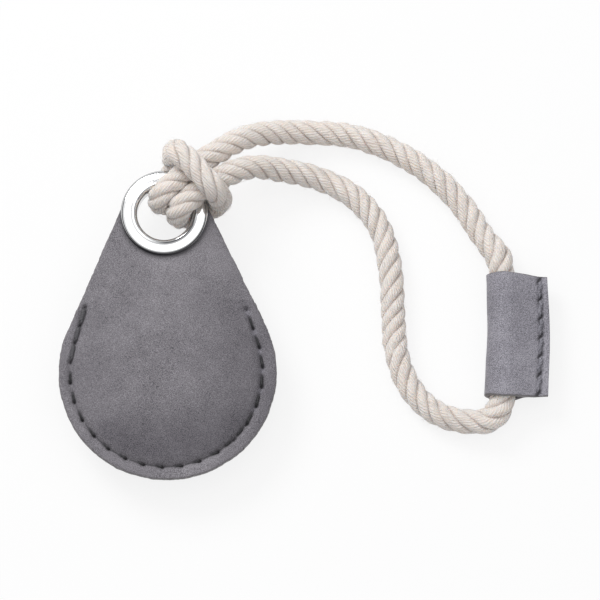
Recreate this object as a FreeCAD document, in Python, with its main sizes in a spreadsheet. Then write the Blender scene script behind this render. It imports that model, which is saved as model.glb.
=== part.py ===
import FreeCAD, Part
import math
import os
import re

import Sketcher
from FreeCAD import Placement, Rotation, Vector

# A leather holder for a round tracker tag, lying on its back: a domed pocket,
# an eyelet in its narrow end, and a cotton rope loop hitched through the eyelet.
# Millimetres, +Z up, the eyelet towards +Y, origin under the middle of the holder.

SIZES = [
    # the tag
    ("tag_radius", 15.95, "widest radius of the tag"),
    ("tag_rise", 4.0, "middle of the tag to the top of its dome"),
    ("tag_drop", 4.0, "middle of the tag to the outside of its door"),
    ("shoulder_inset", 2.95, "tag's edge to where the dome turns into it"),
    ("shoulder_lift", 1.9, "that shoulder above the frame's roof"),
    ("tag_edge_round", 3.2, "rounding of the tag's edge"),
    ("tag_edge_drop", 0.4, "widest level below the middle"),
    ("cover_wall", 1.0, "wall of the domed cover"),
    ("cover_split", 0.9, "joint of cover and frame below the middle"),
    ("frame_play", 0.1, "frame inside the cover's wall"),
    ("frame_roof", 0.5, "plate between the battery and the circuit board"),
    ("foot_inset", 2.55, "tag's edge to the frame's lower edge"),
    ("foot_lift", 0.4, "lower edge of the frame above the door"),
    ("bay_wall", 0.6, "wall of the battery bay at that edge"),
    ("door_play", 0.2, "door inside the battery bay"),
    ("door_thickness", 0.5, "sheet of the door"),
    ("door_round", 0.4, "rounding of the door's rim"),
    ("door_skirt", 1.0, "wall of the door's skirt"),
    ("door_skirt_height", 1.1, "height of that skirt"),
    ("seal_thickness", 0.7, "cord of the door's seal"),
    ("seal_play", 0.02, "seal above the door's skirt"),
    ("battery_room", 1.6, "coin cell inside the door's skirt"),
    ("battery_play", 0.1, "coin cell above the door"),
    ("battery_height", 3.2, "coin cell height"),
    ("contact_height", 0.3, "battery contacts, between the roof and the cell"),
    ("contact_length", 3.0, "length of one contact"),
    ("contact_width", 1.2, "width of one contact"),
    ("contact_inset", 2.5, "middle of a contact from the cell's edge"),
    ("board_reach", 0.3, "circuit board beyond the foot of the cover's inner dome"),
    ("board_room", 0.4, "coil to the hole in the circuit board"),
    ("board_thickness", 0.6, "circuit board"),
    ("magnet_radius", 4.5, "sounder magnet radius"),
    ("magnet_height", 1.4, "sounder magnet height"),
    ("coil_play", 0.3, "coil outside the magnet"),
    ("coil_wall", 1.0, "winding of the coil"),
    ("coil_height", 0.9, "height of the coil"),
    ("coil_gap", 0.075, "coil below the cover"),
    # the leather pocket round the tag
    ("leather_thickness", 1.7, "leather of the two panels"),
    ("tag_sink", 0.5, "middle of the tag below the seam's level"),
    ("tag_gap", 0.2, "tag above the back panel"),
    ("dome_room", 0.9, "front panel above the tag's dome"),
    ("pocket_room", 2.65, "tag's edge to the foot of the front dome"),
    ("back_flat_inset", 4.95, "tag's edge to the flat bottom of the back panel"),
    ("back_foot_room", 2.25, "tag's edge to the foot of the back bulge"),
    ("mouth_height", 14.6, "corners of the back panel above the pocket's middle"),
    ("mouth_lean", 17.0, "lean of the back panel's sides below those corners, degrees"),
    ("notch_half_width", 12.0, "half width of the thumb notch"),
    ("notch_depth", 8.0, "depth of the thumb notch"),
    ("eyelet_pitch", 33.6, "middle of the pocket to the middle of the eyelet"),
    # the eyelet
    ("hole_radius", 5.65, "clear hole of the eyelet"),
    ("barrel_wall", 0.5, "wall of the barrel"),
    ("barrel_play", 0.1, "barrel in the leather and in the washer"),
    ("lip_round", 1.2, "rounding of the flange into the hole"),
    ("flange_radius", 9.05, "outside of the flange"),
    ("flange_thickness", 0.9, "flange above the leather"),
    ("flange_round", 0.75, "rounding of the flange's edge"),
    ("head_cover", 0.35, "flange beyond the leather at the head"),
    ("washer_inset", 0.15, "flange beyond the washer"),
    ("washer_thickness", 0.6, "washer behind the leather"),
    ("curl_width", 1.25, "rolled barrel end outside the barrel"),
    ("curl_thickness", 0.4, "rolled barrel end behind the washer"),
    # the seams
    ("seam_room", 1.2, "foot of the front dome to the seam"),
    ("seam_inset", 2.6, "seam from the pocket's edge"),
    ("seam_end_margin", 0.8, "last hole below the back panel's corners"),
    ("thread_diameter", 0.8, "sewing thread on the leather"),
    ("thread_leg_diameter", 0.65, "sewing thread inside its hole"),
    ("thread_play", 0.03, "thread above the leather"),
    ("stitch_setback", 0.15, "end of a stitch from the middle of its hole"),
    ("needle_hole", 1.1, "diameter of a stitch hole"),
    # the rope and its sleeve
    ("rope_diameter", 4.6, "cotton rope"),
    ("hitch_angle", 39.0, "hitch round the eyelet from +X, degrees"),
    ("swing_gap", 0.3, "rope loop from the end of the hitch"),
    ("sleeve_leather", 1.25, "leather of the sleeve"),
    ("sleeve_play", 0.2, "sleeve round the rope"),
    ("sleeve_slit", 0.1, "between the sleeve's two sewn layers"),
    ("sleeve_shoulder_angle", 66.0, "where the sleeve leaves the rope's round, degrees"),
    ("sleeve_hem", 2.5, "width of the sleeve's flat sewn edge"),
    ("sleeve_seam_inset", 1.65, "sleeve's stitches from that edge"),
    ("sleeve_length", 26.2, "length of the sleeve"),
    ("sleeve_end_margin", 1.0, "last stitch hole from the sleeve's end"),
    ("sleeve_across", 69.1, "rope's middle in the sleeve, along X"),
    ("sleeve_along", -3.2, "middle of the sleeve, along Y"),
    # one overrun for all cuts
    ("overrun", 2.0, "how far a cutting shape passes what it cuts"),
]
STITCHES = 22
SLEEVE_STITCHES = 6
CONTACTS = 3
ROUNDING_SHARE = 0.45
LEAST_ROPE_GAP = 0.4

# Routes of the rope, chosen by hand from the photograph.
# The hitch: (out from the eyelet's middle, left of that, up from the seam's level).
# The rope comes in over the eyelet, down its hole, out behind it, up, and across.
HITCH_HALF = [
    (15.3, 2.6, 4.3),
    (11.5, 2.6, 5.0),
    (1.64, 2.6, 5.4),
    (1.64, 2.6, -3.6),
    (7.8, 4.4, -3.6),
    (10.2, 7.75, -1.0),
    (9.8, 7.75, 10.25),
]
# The two runs of the loop between the hitch and the sleeve, in the part's frame.
UPPER_RUN = [
    (16.3, 39.1, 8.6),
    (22.3, 41.5, 5.4),
    (30.1, 41.6, 2.8),
    (38.7, 40.8, 2.3),
    (47.4, 37.3, 2.3),
    (55.4, 31.4, 2.3),
    (61.6, 24.2, 2.4),
    (65.6, 17.4, 3.0),
    (69.1, 12.4, 3.75),
]
LOWER_RUN = [
    (19.9, 33.7, 8.2),
    (25.3, 33.8, 5.0),
    (32.2, 32.0, 2.6),
    (38.9, 27.4, 2.3),
    (43.5, 20.9, 2.3),
    (46.0, 12.0, 2.3),
    (46.2, 2.2, 2.3),
    (46.6, -7.2, 2.3),
    (50.4, -15.9, 2.3),
    (58.1, -20.9, 2.5),
    (69.1, -21.9, 3.75),
]

# Sizes worked out from the ones above.
DOME_FOOT = "(tag_radius + pocket_room)"
SEAM_RADIUS = f"({DOME_FOOT} + seam_room)"
POCKET_RADIUS = f"({SEAM_RADIUS} + seam_inset)"
DOME_RISE = "(tag_rise - tag_sink + dome_room)"
DOME_RADIUS = f"(({DOME_FOOT}^2 + {DOME_RISE}^2) / (2 * {DOME_RISE}))"
DOME_OUTER_RADIUS = f"({DOME_RADIUS} + leather_thickness)"
DOME_LEVEL = f"({DOME_RADIUS} - {DOME_RISE})"
DOME_OUTER_FOOT = f"sqrt({DOME_OUTER_RADIUS}^2 - ({DOME_LEVEL} + leather_thickness)^2)"
BACK_DEPTH = "(tag_drop + tag_sink + tag_gap)"
BACK_FOOT = "(tag_radius + back_foot_room)"
BACK_FLAT = "(tag_radius - back_flat_inset)"
BACK_RUN = f"({BACK_FOOT} - {BACK_FLAT})"
BACK_RADIUS = f"(({BACK_RUN}^2 + {BACK_DEPTH}^2) / (2 * {BACK_DEPTH}))"
BACK_OUTER_RADIUS = f"({BACK_RADIUS} + leather_thickness)"
BACK_OUTER_RISE = f"({BACK_RADIUS} - {BACK_DEPTH} + leather_thickness)"
BACK_OUTER_FOOT = f"({BACK_FLAT} + sqrt({BACK_OUTER_RADIUS}^2 - {BACK_OUTER_RISE}^2))"
SEAM_LEVEL = f"({BACK_DEPTH} + leather_thickness)"
HEAD_RADIUS = "(flange_radius - head_cover)"
BARREL_RADIUS = "(hole_radius + barrel_wall)"
CURL_RADIUS = f"({BARREL_RADIUS} + curl_width)"
SIDE_SINE = f"(({POCKET_RADIUS} - {HEAD_RADIUS}) / eyelet_pitch)"
SIDE_COSINE = f"sqrt(1 - {SIDE_SINE}^2)"
POCKET_ALONG = f"(({POCKET_RADIUS} - eyelet_pitch - flange_radius) / 2)"
EYELET_ALONG = f"({POCKET_ALONG} + eyelet_pitch)"
TAG_LEVEL = f"({SEAM_LEVEL} - tag_sink)"
FRAME_FOOT = "(tag_radius - foot_inset)"
BAY_RADIUS = f"({FRAME_FOOT} - bay_wall)"
DOOR_RADIUS = f"({BAY_RADIUS} - door_play)"
DOOR_INSIDE = "(door_thickness - tag_drop)"
SKIRT_TOP = f"({DOOR_INSIDE} + door_skirt_height)"
BATTERY_RADIUS = f"({DOOR_RADIUS} - door_skirt - battery_room)"
BATTERY_BOTTOM = f"({DOOR_INSIDE} + battery_play)"
BATTERY_TOP = f"({BATTERY_BOTTOM} + battery_height)"
ROOF_BOTTOM = f"({BATTERY_TOP} + contact_height)"
ROOF_TOP = f"({ROOF_BOTTOM} + frame_roof)"
SHOULDER_RADIUS = "(tag_radius - shoulder_inset)"
SHOULDER_RISE = f"({ROOF_TOP} + shoulder_lift)"
COVER_DOME_RISE = f"(tag_rise - {SHOULDER_RISE})"
COVER_DOME_FOOT = f"({SHOULDER_RADIUS} - cover_wall)"
COIL_BORE = "(magnet_radius + coil_play)"
COIL_RADIUS = f"({COIL_BORE} + coil_wall)"
COVER_OVER_COIL = f"(tag_rise - cover_wall - {COVER_DOME_RISE} * {COIL_RADIUS} / {COVER_DOME_FOOT})"
COIL_TOP = f"({COVER_OVER_COIL} - coil_gap)"
SLEEVE_BORE = "(rope_diameter / 2 + sleeve_play)"
SLEEVE_OUTSIDE = f"({SLEEVE_BORE} + sleeve_leather)"

doc = FreeCAD.newDocument("TagHolder")
sheet = doc.addObject("Spreadsheet::Sheet", "Sizes")
for row, (name, value, note) in enumerate(SIZES, start=1):
    sheet.set(f"A{row}", note)
    sheet.set(f"B{row}", str(value))
    sheet.setAlias(f"B{row}", name)
doc.recompute()
ALIASES = {name for name, value, note in SIZES}
nodes = {}


def bound(text):
    """The expression with each size written as a cell of the sheet."""
    return re.sub(r"[a-z_]+", lambda m: "Sizes." + m[0] if m[0] in ALIASES else m[0], text)


def size(text):
    """The value of an expression in the sheet's sizes."""
    return float(sheet.evalExpression(bound(text)))


def add(kind, name, **sizes):
    """A document object whose named properties follow the sheet."""
    made = doc.addObject(kind, name)
    for prop, text in sizes.items():
        made.setExpression(prop, bound(text))
    return made


def put(made, across="0", along="0", up="0"):
    """Places an object by expressions in the sheet's sizes."""
    for axis, text in zip("xyz", (across, along, up)):
        made.setExpression("Placement.Base." + axis, bound(text))
    return made


def keep(made, label):
    """Names an object as one piece of the holder."""
    made.Label = label
    nodes[label] = made
    return made


def draw(body, role, corners):
    """A closed sketch. Each corner is (x, y), or (x, y, radius, turn) where an arc
    of under a half circle leaves it: turn 1 is anticlockwise, -1 clockwise."""
    sketch = body.newObject("Sketcher::SketchObject", body.Name + "_sketch")
    plane = next(f for f in body.Origin.OriginFeatures if f.Role == role)
    sketch.AttachmentSupport = (plane, [""])
    sketch.MapMode = "FlatFace"
    spots = [Vector(size(c[0]), size(c[1]), 0) for c in corners]
    count = len(corners)
    ends = []
    for i, corner in enumerate(corners):
        start, end = spots[i], spots[(i + 1) % count]
        if len(corner) == 2:
            edge = sketch.addGeometry(Part.LineSegment(start, end), False)
            ends.append((edge, 1, 2))
            continue
        radius, turn = size(corner[2]), corner[3]
        chord = end - start
        inward = Vector(-chord.y, chord.x, 0).normalize() * turn
        rise = math.sqrt(radius**2 - (chord.Length / 2) ** 2)
        middle = start + chord * 0.5 + inward * (rise - radius)
        run = (start, middle, end) if turn > 0 else (end, middle, start)
        edge = sketch.addGeometry(Part.Arc(*run), False)
        ends.append((edge, 1, 2) if turn > 0 else (edge, 2, 1))
        rule = sketch.addConstraint(Sketcher.Constraint("Radius", edge, radius))
        sketch.setExpression(f"Constraints[{rule}]", bound(corner[2]))
    for i, (edge, first, last) in enumerate(ends):
        after = ends[(i + 1) % count]
        sketch.addConstraint(Sketcher.Constraint("Coincident", edge, last, after[0], after[1]))
        for text, kind, axis in ((corners[i][0], "DistanceX", -2), (corners[i][1], "DistanceY", -1)):
            if text == "0":
                sketch.addConstraint(Sketcher.Constraint("PointOnObject", edge, first, axis))
                continue
            rule = sketch.addConstraint(Sketcher.Constraint(kind, -1, 1, edge, first, size(text)))
            sketch.setExpression(f"Constraints[{rule}]", bound(text))
    return sketch


def turned(name, corners):
    """A body turned about its Z axis from corners given as (radius, height)."""
    body = doc.addObject("PartDesign::Body", name)
    sketch = draw(body, "XZ_Plane", corners)
    turn = body.newObject("PartDesign::Revolution", name + "_turn")
    turn.Profile = sketch
    turn.ReferenceAxis = (sketch, ["V_Axis"])
    turn.Angle = 360
    return body


def ring(name, inside, outside, bottom, top):
    """A flat ring, or a disc where inside is 0."""
    return turned(name, [(inside, bottom), (outside, bottom), (outside, top), (inside, top)])


def padded(name, role, corners, length):
    """A body of one outline pushed out by a length."""
    body = doc.addObject("PartDesign::Body", name)
    sketch = draw(body, role, corners)
    pad = body.newObject("PartDesign::Pad", name + "_pad")
    pad.Profile = sketch
    pad.setExpression("Length", bound(length))
    return body


def rod(name, start, end, diameter):
    """A round rod between two points."""
    made = add("Part::Cylinder", name, Radius=diameter + " / 2")
    made.Height = (end - start).Length
    made.Placement = Placement(start, Rotation(Vector(0, 0, 1), end - start))
    return made


def needle_holes(name, spots, depth):
    """Round holes through both leather layers at the given spots."""
    reach = Vector(0, 0, size(f"{depth} + overrun"))
    rods = [rod(f"{name}_{i}", spot - reach, spot + reach, "needle_hole") for i, spot in enumerate(spots)]
    holes = doc.addObject("Part::Compound", name)
    holes.Links = rods
    return holes


def sewn(name, spots, depth):
    """One thread: a leg in each hole, and a stitch on both faces between holes."""
    level = Vector(0, 0, size(f"{depth} + thread_play + thread_diameter / 2"))
    rods = []
    for i, spot in enumerate(spots):
        rods.append(rod(f"{name}_leg_{i}", spot - level, spot + level, "thread_leg_diameter"))
    for i, (spot, after) in enumerate(zip(spots, spots[1:])):
        step = (after - spot).normalize() * size("stitch_setback")
        for side, face in (("front", level), ("back", -level)):
            ends = (spot + step + face, after - step + face)
            rods.append(rod(f"{name}_{side}_{i}", *ends, "thread_diameter"))
    thread = doc.addObject("Part::MultiFuse", name)
    thread.Shapes = rods
    return thread


def cut(name, base, tool):
    """What is left of base outside tool."""
    made = doc.addObject("Part::Cut", name)
    made.Base, made.Tool = base, tool
    return made


def common(name, base, tool):
    """What base and tool share."""
    made = doc.addObject("Part::Common", name)
    made.Base, made.Tool = base, tool
    return made


def seam_spots():
    """Stitch holes down one side of the pocket, round it, and up the other."""
    radius = size(SEAM_RADIUS)
    lean = math.radians(size("mouth_lean"))
    rise = size("mouth_height - seam_end_margin") - radius * math.sin(lean)
    straight = rise / math.cos(lean)
    bend = radius * (math.pi + 2 * lean)
    spots = []
    for i in range(STITCHES + 1):
        along = (2 * straight + bend) * i / STITCHES
        turn = min(max(along - straight, 0), bend) / radius
        angle = lean - turn
        spot = Vector(math.cos(angle), math.sin(angle), 0) * radius
        over = max(straight - along, 0) - max(along - straight - bend, 0)
        spots.append(spot + Vector(-math.sin(angle), math.cos(angle), 0) * over)
    return spots


def rounded(label, points):
    """The rope's middle line: straight runs joined by arcs as large as they allow."""
    edges, here, radii = [], points[0], []
    for before, corner, after in zip(points, points[1:], points[2:]):
        back, on = before - corner, after - corner
        reach = ROUNDING_SHARE * min(back.Length, on.Length)
        half = (math.pi - back.getAngle(on)) / 2
        radius = reach / math.tan(half)
        radii.append(round(radius, 1))
        back.normalize()
        on.normalize()
        start, end = corner + back * reach, corner + on * reach
        inward = (back + on).normalize()
        middle = corner + inward * (radius / math.cos(half) - radius)
        edges.append(Part.LineSegment(here, start).toShape())
        edges.append(Part.Arc(start, middle, end).toShape())
        here = end
    edges.append(Part.LineSegment(here, points[-1]).toShape())
    print(label, "radii", radii)
    return Part.Wire(edges)


def rope(label, points):
    """A rope tube along its route, and its middle line."""
    line = rounded(label, points)
    radius = size("rope_diameter") / 2
    rim = Part.Wire(Part.Circle(points[0], points[1] - points[0], radius).toShape())
    tube = line.makePipeShell([rim], True, False)
    wanted = math.pi * radius**2 * line.Length
    print(label, "length", round(line.Length, 1), "volume share", round(tube.Volume / wanted, 4))
    if abs(tube.Volume / wanted - 1) > 0.01:
        raise ValueError(label + " has not the volume of its section times its length")
    return tube, line


def self_gap(line):
    """The least gap of a rope to itself, between points well apart along it."""
    diameter = size("rope_diameter")
    spots = line.discretize(Distance=diameter / 6)
    step = line.Length / (len(spots) - 1)
    apart = round(2.2 * diameter / step)
    pairs = ((a, b) for i, a in enumerate(spots) for b in spots[i + apart:])
    return min((a - b).Length for a, b in pairs) - diameter


def solid_piece(label, shape):
    """A piece whose shape follows a route."""
    made = doc.addObject("Part::Feature", label + "_rope")
    made.Shape = shape
    return keep(made, label)


# The leather panels
tangent_pocket = (f"{POCKET_RADIUS} * {SIDE_COSINE}", f"{POCKET_RADIUS} * {SIDE_SINE}")
tangent_head = (f"{HEAD_RADIUS} * {SIDE_COSINE}", f"eyelet_pitch + {HEAD_RADIUS} * {SIDE_SINE}")
tangent_mouth = (f"{POCKET_RADIUS} * cos(mouth_lean)", f"{POCKET_RADIUS} * sin(mouth_lean)")
lowest = ("0", f"-{POCKET_RADIUS}", POCKET_RADIUS, 1)
stack = f"{BACK_DEPTH} + {DOME_RISE} + 2 * leather_thickness + 2 * overrun"

front_outline = [
    tangent_pocket,
    (*tangent_head, HEAD_RADIUS, 1),
    (f"-{tangent_head[0]}", tangent_head[1]),
    (f"-{tangent_pocket[0]}", tangent_pocket[1], POCKET_RADIUS, 1),
    lowest,
]
front_reach = f"eyelet_pitch + {HEAD_RADIUS} + overrun"
front_sheet = turned("front_sheet", [
    ("0", DOME_RISE, DOME_RADIUS, -1),
    (DOME_FOOT, "0"),
    (front_reach, "0"),
    (front_reach, "leather_thickness"),
    (DOME_OUTER_FOOT, "leather_thickness", DOME_OUTER_RADIUS, 1),
    ("0", f"{DOME_RISE} + leather_thickness"),
])
front_shape = padded("front_shape", "XY_Plane", front_outline, stack)
put(front_shape, up=f"-{BACK_DEPTH} - leather_thickness - overrun")
front_blank = common("front_blank", front_sheet, front_shape)
eyelet_hole = add(
    "Part::Cylinder", "eyelet_hole",
    Radius=f"{BARREL_RADIUS} + barrel_play", Height="leather_thickness + 2 * overrun",
)
put(eyelet_hole, along="eyelet_pitch", up="-overrun")
front_bored = cut("front_bored", front_blank, eyelet_hole)

mouth_corner = f"({POCKET_RADIUS} - mouth_height * sin(mouth_lean)) / cos(mouth_lean)"
notch_radius = "(notch_half_width^2 + notch_depth^2) / (2 * notch_depth)"
back_outline = [
    tangent_mouth,
    (mouth_corner, "mouth_height"),
    ("notch_half_width", "mouth_height", notch_radius, -1),
    ("-notch_half_width", "mouth_height"),
    (f"-{mouth_corner}", "mouth_height"),
    (f"-{tangent_mouth[0]}", tangent_mouth[1], POCKET_RADIUS, 1),
    lowest,
]
back_reach = f"{POCKET_RADIUS} + mouth_height"
back_sheet = turned("back_sheet", [
    ("0", f"-{BACK_DEPTH}"),
    ("0", f"-{BACK_DEPTH} - leather_thickness"),
    (BACK_FLAT, f"-{BACK_DEPTH} - leather_thickness", BACK_OUTER_RADIUS, 1),
    (BACK_OUTER_FOOT, "-leather_thickness"),
    (back_reach, "-leather_thickness"),
    (back_reach, "0"),
    (BACK_FOOT, "0", BACK_RADIUS, -1),
    (BACK_FLAT, f"-{BACK_DEPTH}"),
])
back_shape = padded("back_shape", "XY_Plane", back_outline, stack)
put(back_shape, up=f"-{BACK_DEPTH} - leather_thickness - overrun")
back_blank = common("back_blank", back_sheet, back_shape)

pocket_spots = seam_spots()
pocket_holes = needle_holes("pocket_holes", pocket_spots, "leather_thickness")
front_panel = keep(cut("front_cut", front_bored, pocket_holes), "front_panel")
back_panel = keep(cut("back_cut", back_blank, pocket_holes), "back_panel")
seam_thread = keep(sewn("seam", pocket_spots, "leather_thickness"), "seam_thread")
for piece in (front_panel, back_panel, seam_thread):
    put(piece, along=POCKET_ALONG, up=SEAM_LEVEL)

# The eyelet, rolled over its washer
flange_top = "leather_thickness + flange_thickness"
eyelet = keep(turned("eyelet_body", [
    ("hole_radius", "-washer_thickness - curl_thickness"),
    (CURL_RADIUS, "-washer_thickness - curl_thickness"),
    (CURL_RADIUS, "-washer_thickness"),
    (BARREL_RADIUS, "-washer_thickness"),
    (BARREL_RADIUS, "leather_thickness"),
    ("flange_radius", "leather_thickness"),
    ("flange_radius", f"{flange_top} - flange_round", "flange_round", 1),
    ("flange_radius - flange_round", flange_top),
    ("hole_radius + lip_round", flange_top, "lip_round", 1),
    ("hole_radius", f"{flange_top} - lip_round"),
]), "eyelet")
washer_bore = f"{BARREL_RADIUS} + barrel_play"
washer_edge = "flange_radius - washer_inset"
washer = keep(ring("washer", washer_bore, washer_edge, "-washer_thickness", "0"), "eyelet_washer")
for piece in (eyelet, washer):
    put(piece, along=EYELET_ALONG, up=SEAM_LEVEL)

# The tag in the pocket, dome to the front and door to the back
dome = f"({COVER_DOME_RISE}^2 + {SHOULDER_RADIUS}^2) / (2 * {COVER_DOME_RISE})"
cover_inside = "tag_radius - cover_wall"
keep(turned("cover", [
    ("0", "tag_rise", dome, -1),
    (SHOULDER_RADIUS, SHOULDER_RISE, "tag_edge_round", -1),
    ("tag_radius", "-tag_edge_drop"),
    ("tag_radius", "-cover_split"),
    (cover_inside, "-cover_split"),
    (cover_inside, ROOF_TOP),
    (COVER_DOME_FOOT, f"{SHOULDER_RISE} - cover_wall"),
    ("0", "tag_rise - cover_wall"),
]), "tag_cover")
frame_side = f"{cover_inside} - frame_play"
keep(turned("frame", [
    ("0", ROOF_TOP),
    (frame_side, ROOF_TOP),
    (frame_side, "-cover_split"),
    ("tag_radius", "-cover_split", "tag_edge_round", -1),
    (FRAME_FOOT, "foot_lift - tag_drop"),
    (BAY_RADIUS, "foot_lift - tag_drop"),
    (BAY_RADIUS, ROOF_BOTTOM),
    ("0", ROOF_BOTTOM),
]), "tag_inner_frame")
keep(turned("door", [
    ("0", DOOR_INSIDE),
    (f"{DOOR_RADIUS} - door_skirt", DOOR_INSIDE),
    (f"{DOOR_RADIUS} - door_skirt", SKIRT_TOP),
    (DOOR_RADIUS, SKIRT_TOP),
    (DOOR_RADIUS, "door_round - tag_drop", "door_round", -1),
    (f"{DOOR_RADIUS} - door_round", "-tag_drop"),
    ("0", "-tag_drop"),
]), "tag_battery_door")
keep(ring("battery", "0", BATTERY_RADIUS, BATTERY_BOTTOM, BATTERY_TOP), "tag_battery")
board_bore = f"{COIL_RADIUS} + board_room"
board_edge = f"{COVER_DOME_FOOT} + board_reach"
board_top = f"{ROOF_TOP} + board_thickness"
keep(ring("board", board_bore, board_edge, ROOF_TOP, board_top), "tag_circuit_board")
magnet_top = f"{ROOF_TOP} + magnet_height"
keep(ring("magnet", "0", "magnet_radius", ROOF_TOP, magnet_top), "tag_sounder_magnet")
coil_bottom = f"{COIL_TOP} - coil_height"
keep(ring("coil", COIL_BORE, COIL_RADIUS, coil_bottom, COIL_TOP), "tag_sounder_coil")
seal = add(
    "Part::Torus", "seal",
    Radius1=f"{DOOR_RADIUS} - door_skirt / 2", Radius2="seal_thickness / 2",
)
keep(seal, "tag_door_seal")
springs = []
for i in range(CONTACTS):
    spring = add(
        "Part::Box", f"contact_{i}",
        Length="contact_length", Width="contact_width", Height="contact_height",
    )
    turn = Rotation(Vector(0, 0, 1), 360 * i / CONTACTS)
    reach = size(f"{BATTERY_RADIUS} - contact_inset - contact_length / 2")
    corner = Vector(reach, -size("contact_width / 2"), 0)
    spring.Placement = Placement(turn.multVec(corner), turn)
    springs.append(spring)
contacts = doc.addObject("Part::Compound", "contacts")
contacts.Links = springs
keep(contacts, "tag_battery_contacts")
for label, piece in nodes.items():
    if label.startswith("tag_"):
        put(piece, along=POCKET_ALONG, up=TAG_LEVEL)
put(seal, along=POCKET_ALONG, up=f"{TAG_LEVEL} + {SKIRT_TOP} + seal_play + seal_thickness / 2")
put(contacts, along=POCKET_ALONG, up=f"{TAG_LEVEL} + {BATTERY_TOP}")

# The cow hitch round the eyelet
hitch_place = Placement(
    Vector(0, size(EYELET_ALONG), size(SEAM_LEVEL)), Rotation(Vector(0, 0, 1), size("hitch_angle")),
)
hitch_points = [Vector(*spot) for spot in HITCH_HALF]
hitch_points += [Vector(out, -left, up) for out, left, up in reversed(HITCH_HALF)]
hitch_tube, hitch_line = rope("rope_hitch", hitch_points)
gap = self_gap(hitch_line)
print("rope_hitch least gap to itself", round(gap, 2))
if gap < LEAST_ROPE_GAP:
    raise ValueError("the hitch touches itself")
solid_piece("rope_hitch", hitch_tube).Placement = hitch_place

# The rope loop, with rounded ends that swing at the hitch
way_out = (hitch_points[0] - hitch_points[1]).normalize()
rope_radius = size("rope_diameter") / 2
swing_reach = rope_radius + size("swing_gap")
rope_end = Vector(size("sleeve_across"), size("sleeve_along"), size(SLEEVE_OUTSIDE))
for label, first, route in (
    ("rope_upper_run", hitch_points[0], UPPER_RUN),
    ("rope_lower_run", hitch_points[-1], LOWER_RUN),
):
    pivot = hitch_place.multVec(first + way_out * swing_reach)
    points = [pivot, *(Vector(*spot) for spot in route), rope_end]
    tube, line = rope(label, points)
    print(label, "swings about", [round(part, 3) for part in pivot])
    cap = Part.makeSphere(rope_radius, pivot, points[0] - points[1], 0, 90, 360)
    solid_piece(label, tube.fuse(cap).removeSplitter())

# The folded sleeve over the rope's joint, sewn along one edge
shoulder = ("cos(sleeve_shoulder_angle)", "sin(sleeve_shoulder_angle)", "tan(sleeve_shoulder_angle)")
layer = "(sleeve_leather + sleeve_slit / 2)"


def sleeve_side(radius, level, sign):
    """Points where one face of the sleeve leaves the rope's round and reaches a level."""
    round_end = (f"{radius} * {shoulder[0]}", f"{sign}{radius} * {shoulder[1]}")
    foot = f"{radius} * {shoulder[0]} + ({radius} * {shoulder[1]} - {level}) * {shoulder[2]}"
    return round_end, (foot, f"{sign}{level}")


outer_top, outer_top_foot = sleeve_side(SLEEVE_OUTSIDE, layer, "")
outer_low, outer_low_foot = sleeve_side(SLEEVE_OUTSIDE, layer, "-")
inner_top, inner_top_foot = sleeve_side(SLEEVE_BORE, "(sleeve_slit / 2)", "")
inner_low, inner_low_foot = sleeve_side(SLEEVE_BORE, "(sleeve_slit / 2)", "-")
sleeve_edge = f"({outer_top_foot[0]} + sleeve_hem)"
sleeve = padded("sleeve", "XZ_Plane", [
    (sleeve_edge, layer),
    outer_top_foot,
    (*outer_top, SLEEVE_OUTSIDE, 1),
    (f"-{SLEEVE_OUTSIDE}", "0", SLEEVE_OUTSIDE, 1),
    outer_low,
    outer_low_foot,
    (sleeve_edge, f"-{layer}"),
    (sleeve_edge, "-sleeve_slit / 2"),
    inner_low_foot,
    (*inner_low, SLEEVE_BORE, -1),
    (f"-{SLEEVE_BORE}", "0", SLEEVE_BORE, -1),
    inner_top,
    inner_top_foot,
    (sleeve_edge, "sleeve_slit / 2"),
], "sleeve_length")
put(sleeve, along="sleeve_length / 2")
sleeve_step = size("sleeve_length - 2 * sleeve_end_margin") / SLEEVE_STITCHES
sleeve_top = size("sleeve_length / 2 - sleeve_end_margin")
sleeve_seam = size(f"{sleeve_edge} - sleeve_seam_inset")
sleeve_spots = [
    Vector(sleeve_seam, sleeve_top - i * sleeve_step, 0) for i in range(SLEEVE_STITCHES + 1)
]
sleeve_holes = needle_holes("sleeve_holes", sleeve_spots, layer)
rope_sleeve = keep(cut("sleeve_cut", sleeve, sleeve_holes), "rope_sleeve")
sleeve_thread = keep(sewn("sleeve_seam", sleeve_spots, layer), "sleeve_thread")
for piece in (rope_sleeve, sleeve_thread):
    put(piece, "sleeve_across", "sleeve_along", SLEEVE_OUTSIDE)

doc.recompute()
for made in doc.Objects:
    if "Invalid" in made.State or "Error" in made.State:
        raise RuntimeError(f"{made.Name} did not build")
for label, piece in nodes.items():
    if piece.Shape.isNull() or not piece.Shape.isValid() or not piece.Shape.Solids:
        raise RuntimeError(f"{label} has no sound shape")

os.makedirs("parts", exist_ok=True)
for label, piece in nodes.items():
    piece.Shape.exportStep(f"parts/{label}.step")
    print(label, len(piece.Shape.Solids), "solids", round(piece.Shape.Volume, 2), "mm3")
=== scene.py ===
import math

import bpy
import numpy as np
from mathutils import Matrix, Vector, geometry, noise


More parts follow.
